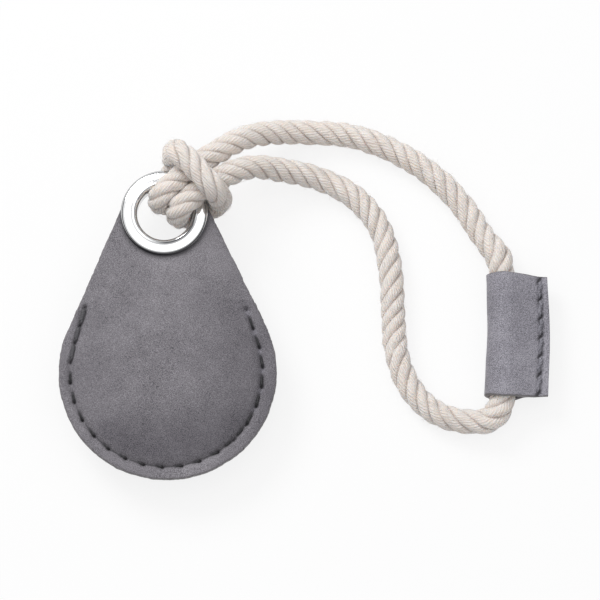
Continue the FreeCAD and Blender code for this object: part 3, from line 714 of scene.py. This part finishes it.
def metal(name, colour, rough, scratch=0.35, stretch=None, scale=900, flange=None):
    """Metal with a haze and fine scratches, and on a flange, its normal and painted lines of reflection and
    shade.
    """
    m = Surface(name)
    where = m.coords()
    haze = m.noise(where, scale=160, detail=4, rough=0.6)
    fine = m.noise(where, scale, detail=5, rough=0.7, stretch=stretch)
    base = m.mix(m.scaled(haze, 0.5), colour, tuple(c * 0.86 for c in colour))
    gloss = m.scaled(fine, scratch * rough * 2, rough * (1 - scratch))
    normal = None
    if flange:
        normal, dark = flange(m, where)
        # Dark lines of painted reflection and shade on the flange
        base = m.mix(dark, base, REFLECTION_LINE_TONE)
    normal = m.bump(fine, distance=0.01, strength=0.25, before=normal)
    return m.finished(Base_Color=base, Metallic=1.0, Roughness=gloss, Normal=normal)


def plastic(name, colour, rough):
    """Moulded plastic with a faint haze."""
    m = Surface(name)
    where = m.coords()
    haze = m.noise(where, scale=90, detail=4, rough=0.6)
    fine = m.noise(where, scale=700, detail=4, rough=0.65)
    base = m.mix(m.scaled(haze, 0.35), colour, tuple(c * 0.88 for c in colour))
    return m.finished(Base_Color=base, Roughness=m.scaled(fine, 0.2, rough),
                      Normal=m.bump(fine, distance=0.02, strength=0.3))


LEATHER_MAT = grey_leather()
THREAD_MAT = thread("dark_waxed_thread", tint=0.032)
SLEEVE_THREAD_MAT = thread("grey_waxed_thread", tint=0.40)
ROPE_MAT = cotton_rope()

# The carried-over solids
finishes = {
    "eyelet": metal("polished_nickel", (0.92, 0.925, 0.93), 0.07, flange=eyelet_flange_and_reflections),
    "eyelet_washer": metal("polished_nickel_back", (0.88, 0.885, 0.89), 0.12),
    "tag_cover": plastic("white_gloss_plastic", (0.86, 0.86, 0.86), 0.16),
    "tag_inner_frame": plastic("white_plastic_frame", (0.80, 0.80, 0.80), 0.3),
    "tag_circuit_board": plastic("green_board", (0.02, 0.13, 0.06), 0.35),
    "tag_sounder_magnet": metal("magnet_steel", (0.58, 0.58, 0.6), 0.32),
    "tag_sounder_coil": metal("copper_winding", (0.72, 0.33, 0.16), 0.3, scratch=0.5, stretch=(1, 1, 9)),
    "tag_battery_contacts": metal("contact_brass", (0.80, 0.62, 0.28), 0.25),
    "tag_battery": metal("cell_steel", (0.66, 0.66, 0.67), 0.24),
    "tag_door_seal": plastic("seal_rubber", (0.02, 0.02, 0.02), 0.6),
    "tag_battery_door": metal("brushed_door_steel", (0.78, 0.785, 0.79), 0.26,
                              scratch=0.6, stretch=(1, 12, 1), scale=420),
}
for name, finish in finishes.items():
    mesh = nodes[name].data
    mesh.materials.clear()
    mesh.materials.append(finish)
    mesh.polygons.foreach_set("material_index", [0] * len(mesh.polygons))

# The two leather panels
OUTLINE_STEP = 0.42
FRONT_SPACING = 0.46
BACK_SPACING = 0.6
HOLE_SIDES = 96
# Rings of points round each stitch hole, and rows of points beside the seam
PIT_RINGS = ((0.0, 1), (0.22, 5), (0.46, 8), (0.74, 10))
LANES = (-0.5, -0.25, 0.0, 0.25, 0.5)
LANE_GAP = 0.92
# How far the back stays inside the front's outline: below its mouth, and at its two corners
BACK_TUCK = 0.34
TUCK_FROM, TUCK_OVER = 1.5, 6.0
CORNERS_FROM = 5
CORNER_SPARE = {-1: -0.15, 1: 0.28}


def front_panel():
    """The teardrop with its hole for the eyelet, and finer points along the seam."""
    hole = [EYELET + LEATHER_HOLE * unit(a) for a in np.linspace(0, TURN, HOLE_SIDES, endpoint=False)]
    pits = np.concatenate([HOLES + radius * unit(a) for radius, count in PIT_RINGS
                           for a in np.linspace(0, TURN, count, endpoint=False)])
    ahead = directions(SEAM_LINE)
    left = np.stack([-ahead[:, 1], ahead[:, 0]], 1)
    lanes = np.concatenate([SEAM_LINE + left * side for side in LANES])
    clouds = [pits, lanes[nearest(lanes, HOLES) > LANE_GAP]]
    outline = front_outline(OUTLINE_STEP)
    return shell("front_leather", outline, [np.array(hole)], front_top, front_bottom, FRONT_SPACING, clouds)


def back_panel():
    """The pocket's back, tucked in under the front, with its corners cut to the front's sides."""
    loop = back_outline(OUTLINE_STEP)
    below = POCKET[1] + MOUTH_H - TUCK_FROM - loop[:, 1]
    loop = inset(loop, BACK_TUCK * share(below, 0, TUCK_OVER))
    for hand, spare in CORNER_SPARE.items():
        slope = np.array([hand * math.cos(TAPER), math.sin(TAPER)])
        past = (loop - POCKET) @ slope - POCKET_R - spare
        high = (loop[:, 1] > POCKET[1] + CORNERS_FROM) & (loop[:, 0] * hand > NOTCH_W)
        loop[high] -= np.clip(past[high], 0, None)[:, None] * slope
    return shell("back_leather", loop, [], back_top, back_bottom, BACK_SPACING)


front = front_panel()
back = back_panel()
for made, solid in ((front, "front_panel"), (back, "back_panel")):
    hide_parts(solid)
    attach(made, "holder")


# Tubes and stitches
STEEP = 0.9
PLIES = 3
PLY_SIDES = 8
PLY_OFFSET = 0.27
PLY_RADIUS = 0.25
STITCH_SLOPE = 0.2


def carried_axes(points):
    """Two unit vectors across a line at each of its points, carried along without twist."""
    ways = directions(points)
    up = UP if abs(ways[0][2]) < STEEP else SIDEWAYS
    found = []
    for way in ways:
        up = up - way * (up @ way)
        up /= np.linalg.norm(up)
        found.append((up, np.cross(way, up)))
    return found


def tube(points, radii, sides, verts, faces):
    """Adds a round tube with closed ends along points, to lists."""
    base = len(verts)
    for p, (u, w), r in zip(points, carried_axes(points), radii):
        verts += [p + r * (math.cos(a) * u + math.sin(a) * w)
                  for a in np.linspace(0, TURN, sides, endpoint=False)]
    faces += ring_faces(base, len(points), sides)


def stitch(line, thick, turns, verts, faces):
    """Adds one stitch of twisted plies along a line of points, to lists."""
    n = len(line)
    for ply in range(PLIES):
        path = []
        for i, (p, t) in enumerate(zip(line, directions(line))):
            u = UP - t * (UP @ t)
            u /= np.linalg.norm(u)
            w = np.cross(t, u)
            a = TURN * (turns * i / (n - 1) + ply / PLIES)
            path.append(p + PLY_OFFSET * thick * (math.cos(a) * u + math.sin(a) * w))
        tube(np.array(path), [PLY_RADIUS * thick] * n, PLY_SIDES, verts, faces)


def stitch_crown(s):
    """How far a stitch has risen out of its holes, along its length."""
    return eased(share(np.minimum(s, 1 - s), 0, STITCH_SLOPE))


# The pocket's seam: thickness and depth of its stitches on both faces, in millimetres
SEAM_TURNS = 2.2
SEAM_POINTS = 15
SEAM_DIVE = 0.95
FRONT_THICK = np.interp(range(STITCHES), [0, 3, 6, 9, 14, 18, 19, 20, 21],
                        [0.5, 0.56, 0.5, 0.46, 0.42, 0.5, 0.8, 0.9, 0.98])
FRONT_BURY = np.interp(range(STITCHES), [0, 3, 6, 15, 18, 21], [0.06, 0.06, 0.12, 0.12, 0.04, 0.0])
BACK_THICK, BACK_BURY, BACK_SHOWN = [0.7] * STITCHES, [0.1] * STITCHES, [(0.07, 0.93)] * STITCHES
GREYED_FROM = 19


def seam_face(height, thickness, bury, shown, side, verts, faces):
    """Adds all stitches on one face of the pocket, to lists."""
    s = np.linspace(0, 1, SEAM_POINTS)
    crown = stitch_crown(s)
    for (a, b), thick, depth, (start, end) in zip(HOLE_PAIRS, thickness, bury, shown):
        flat = between(a, b, start + (end - start) * s)
        base = np.median(height(flat))
        lift = base + side * (thick / 2 - depth) * crown - side * SEAM_DIVE * (1 - crown)
        stitch(np.column_stack([flat, lift]), thick, SEAM_TURNS, verts, faces)


def seam_stitches():
    """Both faces of the pocket's seam, with the last stitches of the front painted greyer."""
    verts, faces = [], []
    seam_face(front_top, FRONT_THICK, FRONT_BURY, SHOWN, 1, verts, faces)
    greyed = np.repeat(np.arange(STITCHES) >= GREYED_FROM, len(verts) // STITCHES).astype(float)
    seam_face(back_bottom, BACK_THICK, BACK_BURY, BACK_SHOWN, -1, verts, faces)
    made = new_object("seam_stitches", verts, faces, THREAD_MAT)
    paint(made, "greyed", np.concatenate([greyed, np.zeros(len(verts) - len(greyed))]))
    return made


seam_thread = seam_stitches()
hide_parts("seam_thread")
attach(seam_thread, "holder")

# The rope's route, as its control points
UPPER_ROUTE = [
    (69.5, -3.6, 3.75), (70.3, 12.1, 3.75), (66.15, 17.35, 3.0), (62.4, 24.35, 2.4),
    (56.35, 31.55, 2.35), (48.0, 37.25, 2.35), (39.25, 40.8, 2.35), (30.6, 41.4, 2.6),
    (22.8, 41.15, 4.8), (17.1, 39.5, 7.9),
]
KNOT_ROUTE = [
    (11.5, 35.9, 10.6), (4.45, 31.0, 11.5), (-1.55, 25.75, 12.3), (0.05, 26.4, 1.9),
    (2.35, 35.85, 2.6), (2.55, 35.45, 16.0), (6.45, 31.45, 16.2), (11.5, 25.5, 16.0),
    (11.7, 26.6, 2.4), (3.2, 23.4, 2.4), (2.45, 22.95, 12.3), (7.7, 27.6, 11.5), (14.4, 31.4, 10.6),
]
LOWER_ROUTE = [
    (18.75, 33.0, 8.6), (25.05, 32.75, 5.1), (32.9, 31.4, 2.6), (39.9, 27.35, 2.35),
    (44.95, 20.7, 2.35), (46.65, 11.9, 2.35), (46.75, 2.05, 2.35), (47.05, -7.4, 2.35),
    (50.85, -16.2, 2.35), (58.65, -21.35, 2.5), (70.3, -21.0, 3.75), (69.5, -3.6, 3.75),
]
ROUTE_ORDER = 3
ROUTE_DETAIL = 40
ROPE_STEP = 0.3


def spline_points(route):
    """Points along the smooth line that has the route as its control points."""
    curve = bpy.data.curves.new("route", "CURVE")
    curve.dimensions = "3D"
    spline = curve.splines.new("NURBS")
    spline.points.add(len(route) - 1)
    for spot, place in zip(spline.points, route):
        spot.co = (*(MM * v for v in place), 1.0)
    spline.order_u = ROUTE_ORDER
    spline.use_endpoint_u = True
    spline.resolution_u = ROUTE_DETAIL
    holder = placed("route", curve)
    mesh = bpy.data.meshes.new_from_object(holder)
    found = np.array([v.co for v in mesh.vertices]) / MM
    bpy.data.objects.remove(holder)
    bpy.data.curves.remove(curve)
    bpy.data.meshes.remove(mesh)
    return found


def even(points, step):
    """The same line in even steps, and how far along it each of them is."""
    length = np.concatenate([[0], np.cumsum(np.linalg.norm(np.diff(points, axis=0), axis=1))])
    spots = np.linspace(0, length[-1], round(length[-1] / step) + 1)
    return np.column_stack([np.interp(spots, length, points[:, k]) for k in range(3)]), spots


line, along = even(spline_points(UPPER_ROUTE + KNOT_ROUTE + LOWER_ROUTE), ROPE_STEP)
ROPE_LENGTH = along[-1]

# The laid rope: its strands, their twist and shape, and how much they vary
STRANDS = 4
LAY = 2.9 * ROPE_D
SIDES = 72
UV_LENGTH = 10.0
TWIST_DRIFT = 0.35
SIZE_DRIFT = 0.025
STRAND_DRIFT = 0.05
SWELL = 0.11
SWELL_AT, SWELL_WIDTH = 16.5, 3.2
STRAND_TOP, STRAND_ROUND, STRAND_CLEFT = 1.085, 0.17, 0.18
ROPE_FLOOR = 0.02
SHADE_MIDDLE, SHADE_DRIFT = 0.5, 0.9


def rope_skin():
    """Points of the strands, ring by ring, with how deep in a crease and how shaded they are."""
    verts, crease, shade = [], [], []
    for p, (u, w), s in zip(line, carried_axes(line), along):
        phase = TURN * s / LAY + TWIST_DRIFT * wobble(s, 0, 0, size=9.0, seed=4.0)
        size = ROPE_D / 2 * (1 + SIZE_DRIFT * wobble(s, 3, 1, size=6.0, seed=1.0))
        size *= 1 + SWELL * bell(min(s, ROPE_LENGTH - s) - SWELL_AT, SWELL_WIDTH)
        for j in range(SIDES):
            a = TURN * j / SIDES
            turn = (a - phase) * STRANDS / TURN
            strand = math.floor(turn) % STRANDS
            cleft = 1 - 2 * abs(turn - math.floor(turn) - 0.5)
            fat = 1 + STRAND_DRIFT * wobble(s, strand * 9.0, 2, size=3.0, seed=6.0)
            r = size * fat * (STRAND_TOP - STRAND_ROUND * cleft**2 - STRAND_CLEFT * cleft**7)
            spot = p + r * (math.cos(a) * u + math.sin(a) * w)
            spot[2] = max(spot[2], ROPE_FLOOR)
            verts.append(spot)
            # How deep in the crease between strands, for the painted crease shade
            crease.append(cleft**5)
            shade.append(SHADE_MIDDLE + SHADE_DRIFT * wobble(s, strand * 7.0, 5, size=7.0, seed=3.3))
    return verts, crease, shade


def rope_uvs():
    """Texture places for the corners of the rope's faces: along it, and once round it."""
    uvs = []
    for a, b in zip(along / UV_LENGTH, along[1:] / UV_LENGTH):
        for j in range(SIDES):
            uvs += [(a, j / SIDES), (a, (j + 1) / SIDES), (b, (j + 1) / SIDES), (b, j / SIDES)]
    for end in (along[0], along[-1]):
        uvs += [(end / UV_LENGTH, j / SIDES) for j in range(SIDES)]
    return uvs


# Loose fibres on the rope: how many, the rings they keep off at both ends, and their shape
FIBRES = 2200
FIBRE_START, FIBRE_END = 50, 70
FIBRE_POINTS = 6
FIBRE_SIDES = 3
FIBRE_RADII = (0.028, 0.014)
FIBRE_ROOT = 0.05
FIBRE_FLOOR = 0.06
FIBRE_SHADE = 0.2
FIBRE_HEADING = 0.7
FIBRE_REACH = (0.8, 2.3)
FIBRE_LIFT = (0.05, 0.42)
FIBRE_CURL = 0.35
FIBRE_ARCH = 1.6
FIBRE_FALL = 2.2 * ROPE_D


def add_fibres(verts, faces, uvs):
    """Adds thin fibres that stand off the rope's surface, to lists."""
    chance = np.random.default_rng(11)
    ways = directions(line)
    f = np.linspace(0, 1, FIBRE_POINTS)[:, None]
    for _ in range(FIBRES):
        i = int(chance.integers(FIBRE_START, len(line) - FIBRE_END))
        j = int(chance.integers(SIDES))
        root = verts[i * SIDES + j]
        normal = root - line[i]
        normal /= np.linalg.norm(normal)
        side = np.cross(ways[i], normal)
        heading = chance.normal(0, FIBRE_HEADING)
        way = math.copysign(1, chance.normal()) * (math.cos(heading) * ways[i] + math.sin(heading) * side)
        reach = chance.uniform(*FIBRE_REACH)
        lift = chance.uniform(*FIBRE_LIFT)
        curl = chance.normal(0, FIBRE_CURL)
        height = lift * f * (FIBRE_ARCH - f) - (reach * f) ** 2 / FIBRE_FALL / 2
        hair = root - FIBRE_ROOT * normal + way * reach * f + normal * height + side * curl * f**2
        hair[:, 2] = np.maximum(hair[:, 2], FIBRE_FLOOR)
        before = len(faces)
        tube(hair, np.linspace(*FIBRE_RADII, FIBRE_POINTS), FIBRE_SIDES, verts, faces)
        corners = sum(len(face) for face in faces[before:])
        uvs += [(along[i] / UV_LENGTH, j / SIDES)] * corners


def whole_rope():
    """The rope from end to end, with its fibres."""
    verts, crease, shade = rope_skin()
    faces = ring_faces(0, len(line), SIDES)
    uvs = rope_uvs()
    add_fibres(verts, faces, uvs)
    extra = len(verts) - len(crease)
    made = new_object("cotton_rope", verts, faces, ROPE_MAT)
    layer = made.data.uv_layers.new(name="UVMap")
    layer.data.foreach_set("uv", np.array(uvs, np.float32).ravel())
    paint(made, "crease", crease + [0.0] * extra)
    paint(made, "shade", np.clip(shade + [FIBRE_SHADE] * extra, 0, 1))
    return made


rope = whole_rope()
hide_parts("rope_hitch", "rope_upper_run", "rope_lower_run")
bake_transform(rope)


# The leather sleeve over the rope's joint: its section, its lean, and how unevenly it hangs
SLEEVE_FLANK = math.radians(66)
OUTER_LEVEL, INNER_LEVEL = 1.3, 0.05
FOLD_POINTS, FLANK_POINTS, EDGE_POINTS = 22, 10, 16
SECTION_PASSES = 6
SLEEVE_ROWS = 96
SLEEVE_LEAN = math.tan(math.radians(2.6))
SLEEVE_BOW, SLEEVE_SHIFT = 0.45, -0.15
SLEEVE_FLARE = 0.45
END_RIPPLE, INNER_RIPPLE = 0.14, 0.4
END_ROUND, END_WIDTH = 0.05, 0.35
EDGE_FROM, EDGE_BULGE = 5, 0.5
# Places across it, and how far its ends are cut askew there: above, below, and below on the back
UPPER_SKEW = (0.5, 8), (0, -0.9)
LOWER_SKEW = (-3.75, 0, 8), (0.85, 0, 0.15)
UNDER_SKEW = (1, 4), (0, 0.45)
# Its bulges: height, size and seed
BULGES = ((0.12, 7.0, 2.5), (0.03, 1.6, 4.4))
# Its seam: the holes, and how deep the thread presses in
SLEEVE_STITCHES = 6
FIRST_HOLE, HOLES_SPAN = SLEEVE_LENGTH / 2 - 1.5, SLEEVE_LENGTH - 2.3
SLEEVE_HOLES = FIRST_HOLE - np.arange(SLEEVE_STITCHES + 1) * HOLES_SPAN / SLEEVE_STITCHES
PRESS_REACH = 1.6
LINE_PRESS, LINE_PRESS_WIDTH = 0.30, 0.55
HOLE_PRESS, HOLE_PRESS_WIDTH = 0.45, math.sqrt(0.2)
# Its painted shade: along the seam's line, and in slanting slits at the holes
SEAM_LINE_SHADE, LINE_WIDTH = 0.3, 0.4
SLIT_SHADE, SLIT_ACROSS, SLIT_ALONG = 1.7, 0.28, 0.9
SLANT_COS, SLANT_SIN = 0.8, 0.6


def sleeve_section(radius, level):
    """Upper half of one face of the sleeve, from the fold to the sewn edge."""
    fold = [(-radius * math.cos(a), radius * math.sin(a))
            for a in np.linspace(0, math.pi - SLEEVE_FLANK, FOLD_POINTS)]
    rise = radius * math.sin(SLEEVE_FLANK) - level
    foot = np.array([radius * math.cos(SLEEVE_FLANK) + rise * math.tan(SLEEVE_FLANK), level])
    flank = between(np.array(fold[-1]), foot, np.arange(1, FLANK_POINTS + 1) / FLANK_POINTS)
    edge = between(foot, np.array([SLEEVE_EDGE, level]), np.arange(1, EDGE_POINTS + 1) / EDGE_POINTS)
    pts = np.concatenate([fold, flank, edge])
    for _ in range(SECTION_PASSES):
        pts[1:-1] = (pts[:-2] + 2 * pts[1:-1] + pts[2:]) / 4
    return pts


def sleeve_drift(y):
    """How far the sleeve lies to the right at a place along it."""
    return SLEEVE_LEAN * y + SLEEVE_BOW * np.cos(math.pi * y / SLEEVE_LENGTH) + SLEEVE_SHIFT


def sleeve_row(x, z, outer, f):
    """The sleeve's section at a share of its length, as it hangs there."""
    lower_skew = np.interp(x, *LOWER_SKEW) + np.interp(x, *UNDER_SKEW) * (z < 0)
    ripple = np.array([wobble(a, f * 3, c, size=2.5, seed=9.0) for a, c in zip(x, z)])
    y = SLEEVE_LENGTH * (f - 0.5) + np.interp(x, *UPPER_SKEW) * f + lower_skew * (1 - f)
    y += END_RIPPLE * ripple * (1 if f in (0, 1) else INNER_RIPPLE)
    bulge = sum(height * np.array([wobble(*spot, size, seed) for spot in zip(x, y, z)])
                for height, size, seed in BULGES)
    end = min(f, 1 - f) * SLEEVE_LENGTH
    pz = z * (1 - END_ROUND * bell(end, END_WIDTH) * np.where(outer, 1, -1))
    swell = np.where(outer, bulge, 0) / np.maximum(np.hypot(x, pz), TINY)
    swell *= np.where(x > EDGE_FROM, EDGE_BULGE, 1)
    t = x - SLEEVE_SEAM
    near = np.min(np.abs(y - SLEEVE_HOLES[:, None]), axis=0)
    press = LINE_PRESS * bell(t, LINE_PRESS_WIDTH)
    press += HOLE_PRESS * bell(np.hypot(t, near), HOLE_PRESS_WIDTH)
    pressed = np.where(outer & (np.abs(t) < PRESS_REACH), np.copysign(press, z), 0)
    px = x + swell * x + sleeve_drift(y) + SLEEVE_FLARE * (1 - f) * x / SLEEVE_EDGE
    pz = pz + swell * pz - pressed
    return np.column_stack([SLEEVE_X + px, SLEEVE_Y + y, np.maximum(SLEEVE_Z + pz, 0.0)])


def sleeve():
    """A folded strip with an outer face, cut ends and an inner face."""
    halves = [sleeve_section(SLEEVE_BORE + SLEEVE_LEATHER, OUTER_LEVEL),
              sleeve_section(SLEEVE_BORE, INNER_LEVEL)]
    outside, within = [np.concatenate([half[::-1], half[1:] * [1, -1]]) for half in halves]
    x, z = np.concatenate([outside, within[::-1]]).T
    m = len(x)
    outer = np.arange(m) < len(outside)
    verts = np.concatenate([sleeve_row(x, z, outer, i / SLEEVE_ROWS) for i in range(SLEEVE_ROWS + 1)])
    faces = ring_faces(0, SLEEVE_ROWS + 1, m, closed=False)
    for base, turn in ((0, 1), (SLEEVE_ROWS * m, -1)):
        faces += [(base + k, base + m - 1 - k, base + m - 2 - k, base + k + 1)[::turn]
                  for k in range(len(outside) - 1)]
    made = new_object("sleeve_leather", verts, faces, LEATHER_MAT)
    paint(made, "flesh", np.tile(np.where(outer, 0.0, 1.0), SLEEVE_ROWS + 1))
    paint(made, "cut", np.repeat([1.0] + [0.0] * (SLEEVE_ROWS - 1) + [1.0], m))
    y = verts[:, 1] - SLEEVE_Y
    t = verts[:, 0] - SLEEVE_X - SLEEVE_SEAM - sleeve_drift(y)
    # Painted shade along the seam's line and in a slanting slit at each hole
    painted_shade = SEAM_LINE_SHADE * bell(t, LINE_WIDTH)
    for h in SLEEVE_HOLES:
        across = SLANT_COS * t - SLANT_SIN * (y - h)
        length = SLANT_COS * (y - h) + SLANT_SIN * t
        painted_shade += SLIT_SHADE * bell(across, SLIT_ACROSS) * bell(length, SLIT_ALONG)
    paint(made, "painted_shade", np.clip(painted_shade, 0, 1))
    # The sleeve's own paler leather
    paint(made, "pale", np.ones(len(verts)))
    return made


sleeve_piece = sleeve()
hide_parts("rope_sleeve")
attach(sleeve_piece, "loop")

# The sleeve's stitches, in millimetres
SLEEVE_THICK = 0.78
SLEEVE_TURNS = 1.9
SLEEVE_POINTS = 17
SLEEVE_SHOWN = (0.05, 0.9)
SLEEVE_SWAY = 0.22
SLEEVE_SINK = 0.3
SLEEVE_RISE = 0.355
SLEEVE_DIVE = 0.9


def sleeve_stitches():
    """Both faces of the sleeve's seam."""
    verts, faces = [], []
    spots = [np.array([SLEEVE_X + SLEEVE_SEAM, SLEEVE_Y + h]) for h in SLEEVE_HOLES]
    s = np.linspace(0, 1, SLEEVE_POINTS)
    crown = stitch_crown(s)
    rise = OUTER_LEVEL - SLEEVE_SINK + SLEEVE_RISE * crown - SLEEVE_DIVE * (1 - crown)
    for side in (1, -1):
        for a, b in zip(spots, spots[1:]):
            flat = between(a, b, SLEEVE_SHOWN[0] + SLEEVE_SHOWN[1] * s)
            flat[:, 0] += SLEEVE_SWAY * np.sin(s * TURN) + sleeve_drift(flat[:, 1] - SLEEVE_Y)
            path = np.column_stack([flat, SLEEVE_Z + side * rise])
            stitch(path, SLEEVE_THICK, SLEEVE_TURNS, verts, faces)
    return new_object("sleeve_stitches", verts, faces, SLEEVE_THREAD_MAT)


sleeve_thread = sleeve_stitches()
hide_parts("sleeve_thread")
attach(sleeve_thread, "loop")

# The floor, in metres: pale paper that glows where the camera sees it
FLOOR_REACH = 3
FLOOR_GAP = 0.0002
FLOOR_GREY = (0.9, 0.9, 0.9)
FLOOR_GLOW = 0.82


def pale_paper():
    """Matt paper, mostly white to the camera and in mirrors and plain grey to the light."""
    m = Surface("pale_paper")
    m.finished(Base_Color=FLOOR_GREY, Roughness=0.9)
    ray = m.add("ShaderNodeLightPath").outputs
    seen = m.maths("MAXIMUM", ray["Is Camera Ray"], ray["Is Glossy Ray"])
    seen = m.maths("MAXIMUM", seen, ray["Is Transmission Ray"])
    glow = m.add("ShaderNodeEmission", Color=WHITE, Strength=1.0)
    both = m.add("ShaderNodeMixShader", Fac=m.scaled(seen, FLOOR_GLOW))
    m.feed(both.inputs[1], m.shader.outputs["BSDF"])
    m.feed(both.inputs[2], glow.outputs["Emission"])
    m.feed(m.tree.nodes["Material Output"].inputs["Surface"], both.outputs["Shader"])
    return m.material


floor_mesh = bpy.data.meshes.new("floor")
corners = [(x * FLOOR_REACH, y * FLOOR_REACH, 0) for x, y in ((-1, -1), (1, -1), (1, 1), (-1, 1))]
floor_mesh.from_pydata(corners, [], [(0, 1, 2, 3)])
floor_mesh.materials.append(pale_paper())
floor = placed("floor", floor_mesh)
floor.location.z = -FLOOR_GAP

# Light: a sky that is dark below and bright above, a key lamp and a lamp overhead
SKY = [(0.0, (0.03, 0.03, 0.032)), (0.33, (0.05, 0.05, 0.053)),
       (0.52, (0.70, 0.70, 0.705)), (0.75, (0.89, 0.89, 0.895))]
LAMP_TARGET = Vector((0.026, 0.006, 0.004))

scene.world = bpy.data.worlds.new("studio")
scene.world.use_nodes = True
world = Nodes(scene.world.node_tree)
background = world.tree.nodes["Background"]
world.feed(background.inputs["Color"], world.ramp(world.axes(world.coords("Generated"))["Z"], SKY))
world.feed(background.inputs["Strength"], 1.0)


def lamp(name, place, size, power):
    """A round lamp that shines at the part."""
    light = bpy.data.lights.new(name, "AREA")
    light.shape = "DISK"
    light.size = size
    light.energy = power
    made = placed(name, light)
    made.location = place
    made.rotation_euler = (LAMP_TARGET - Vector(place)).to_track_quat("-Z", "Y").to_euler()


lamp("key", (-0.36, 0.55, 0.56), size=0.42, power=3.6)
lamp("overhead", (0.02, 0.20, 0.85), size=0.40, power=0.40)

# The camera, above and in front: what it aims at, and how wide a strip it sees at which height
LENS = 300
SENSOR = 36
NEAR_CLIP = 0.01
TILT = math.radians(76.7)
ROLL = math.radians(1.5)
AIM = Vector((27.57 * MM, 6.21 * MM, 0.0))
SEEN_WIDTH = 123.7
SEEN_HEIGHT = 6.8

lens = bpy.data.cameras.new("camera")
lens.lens = LENS
lens.sensor_width = SENSOR
lens.clip_start = NEAR_CLIP
camera = placed("camera", lens)
scene.camera = camera
distance = (SEEN_WIDTH * LENS / SENSOR + SEEN_HEIGHT) * MM
camera.location = AIM + Vector((0, -math.cos(TILT), math.sin(TILT))) * distance
leaned = Matrix.Rotation(math.pi / 2 - TILT, 3, "X") @ Matrix.Rotation(-ROLL, 3, "Z")
camera.rotation_euler = leaned.to_euler()
scene.view_settings.view_transform = "Standard"
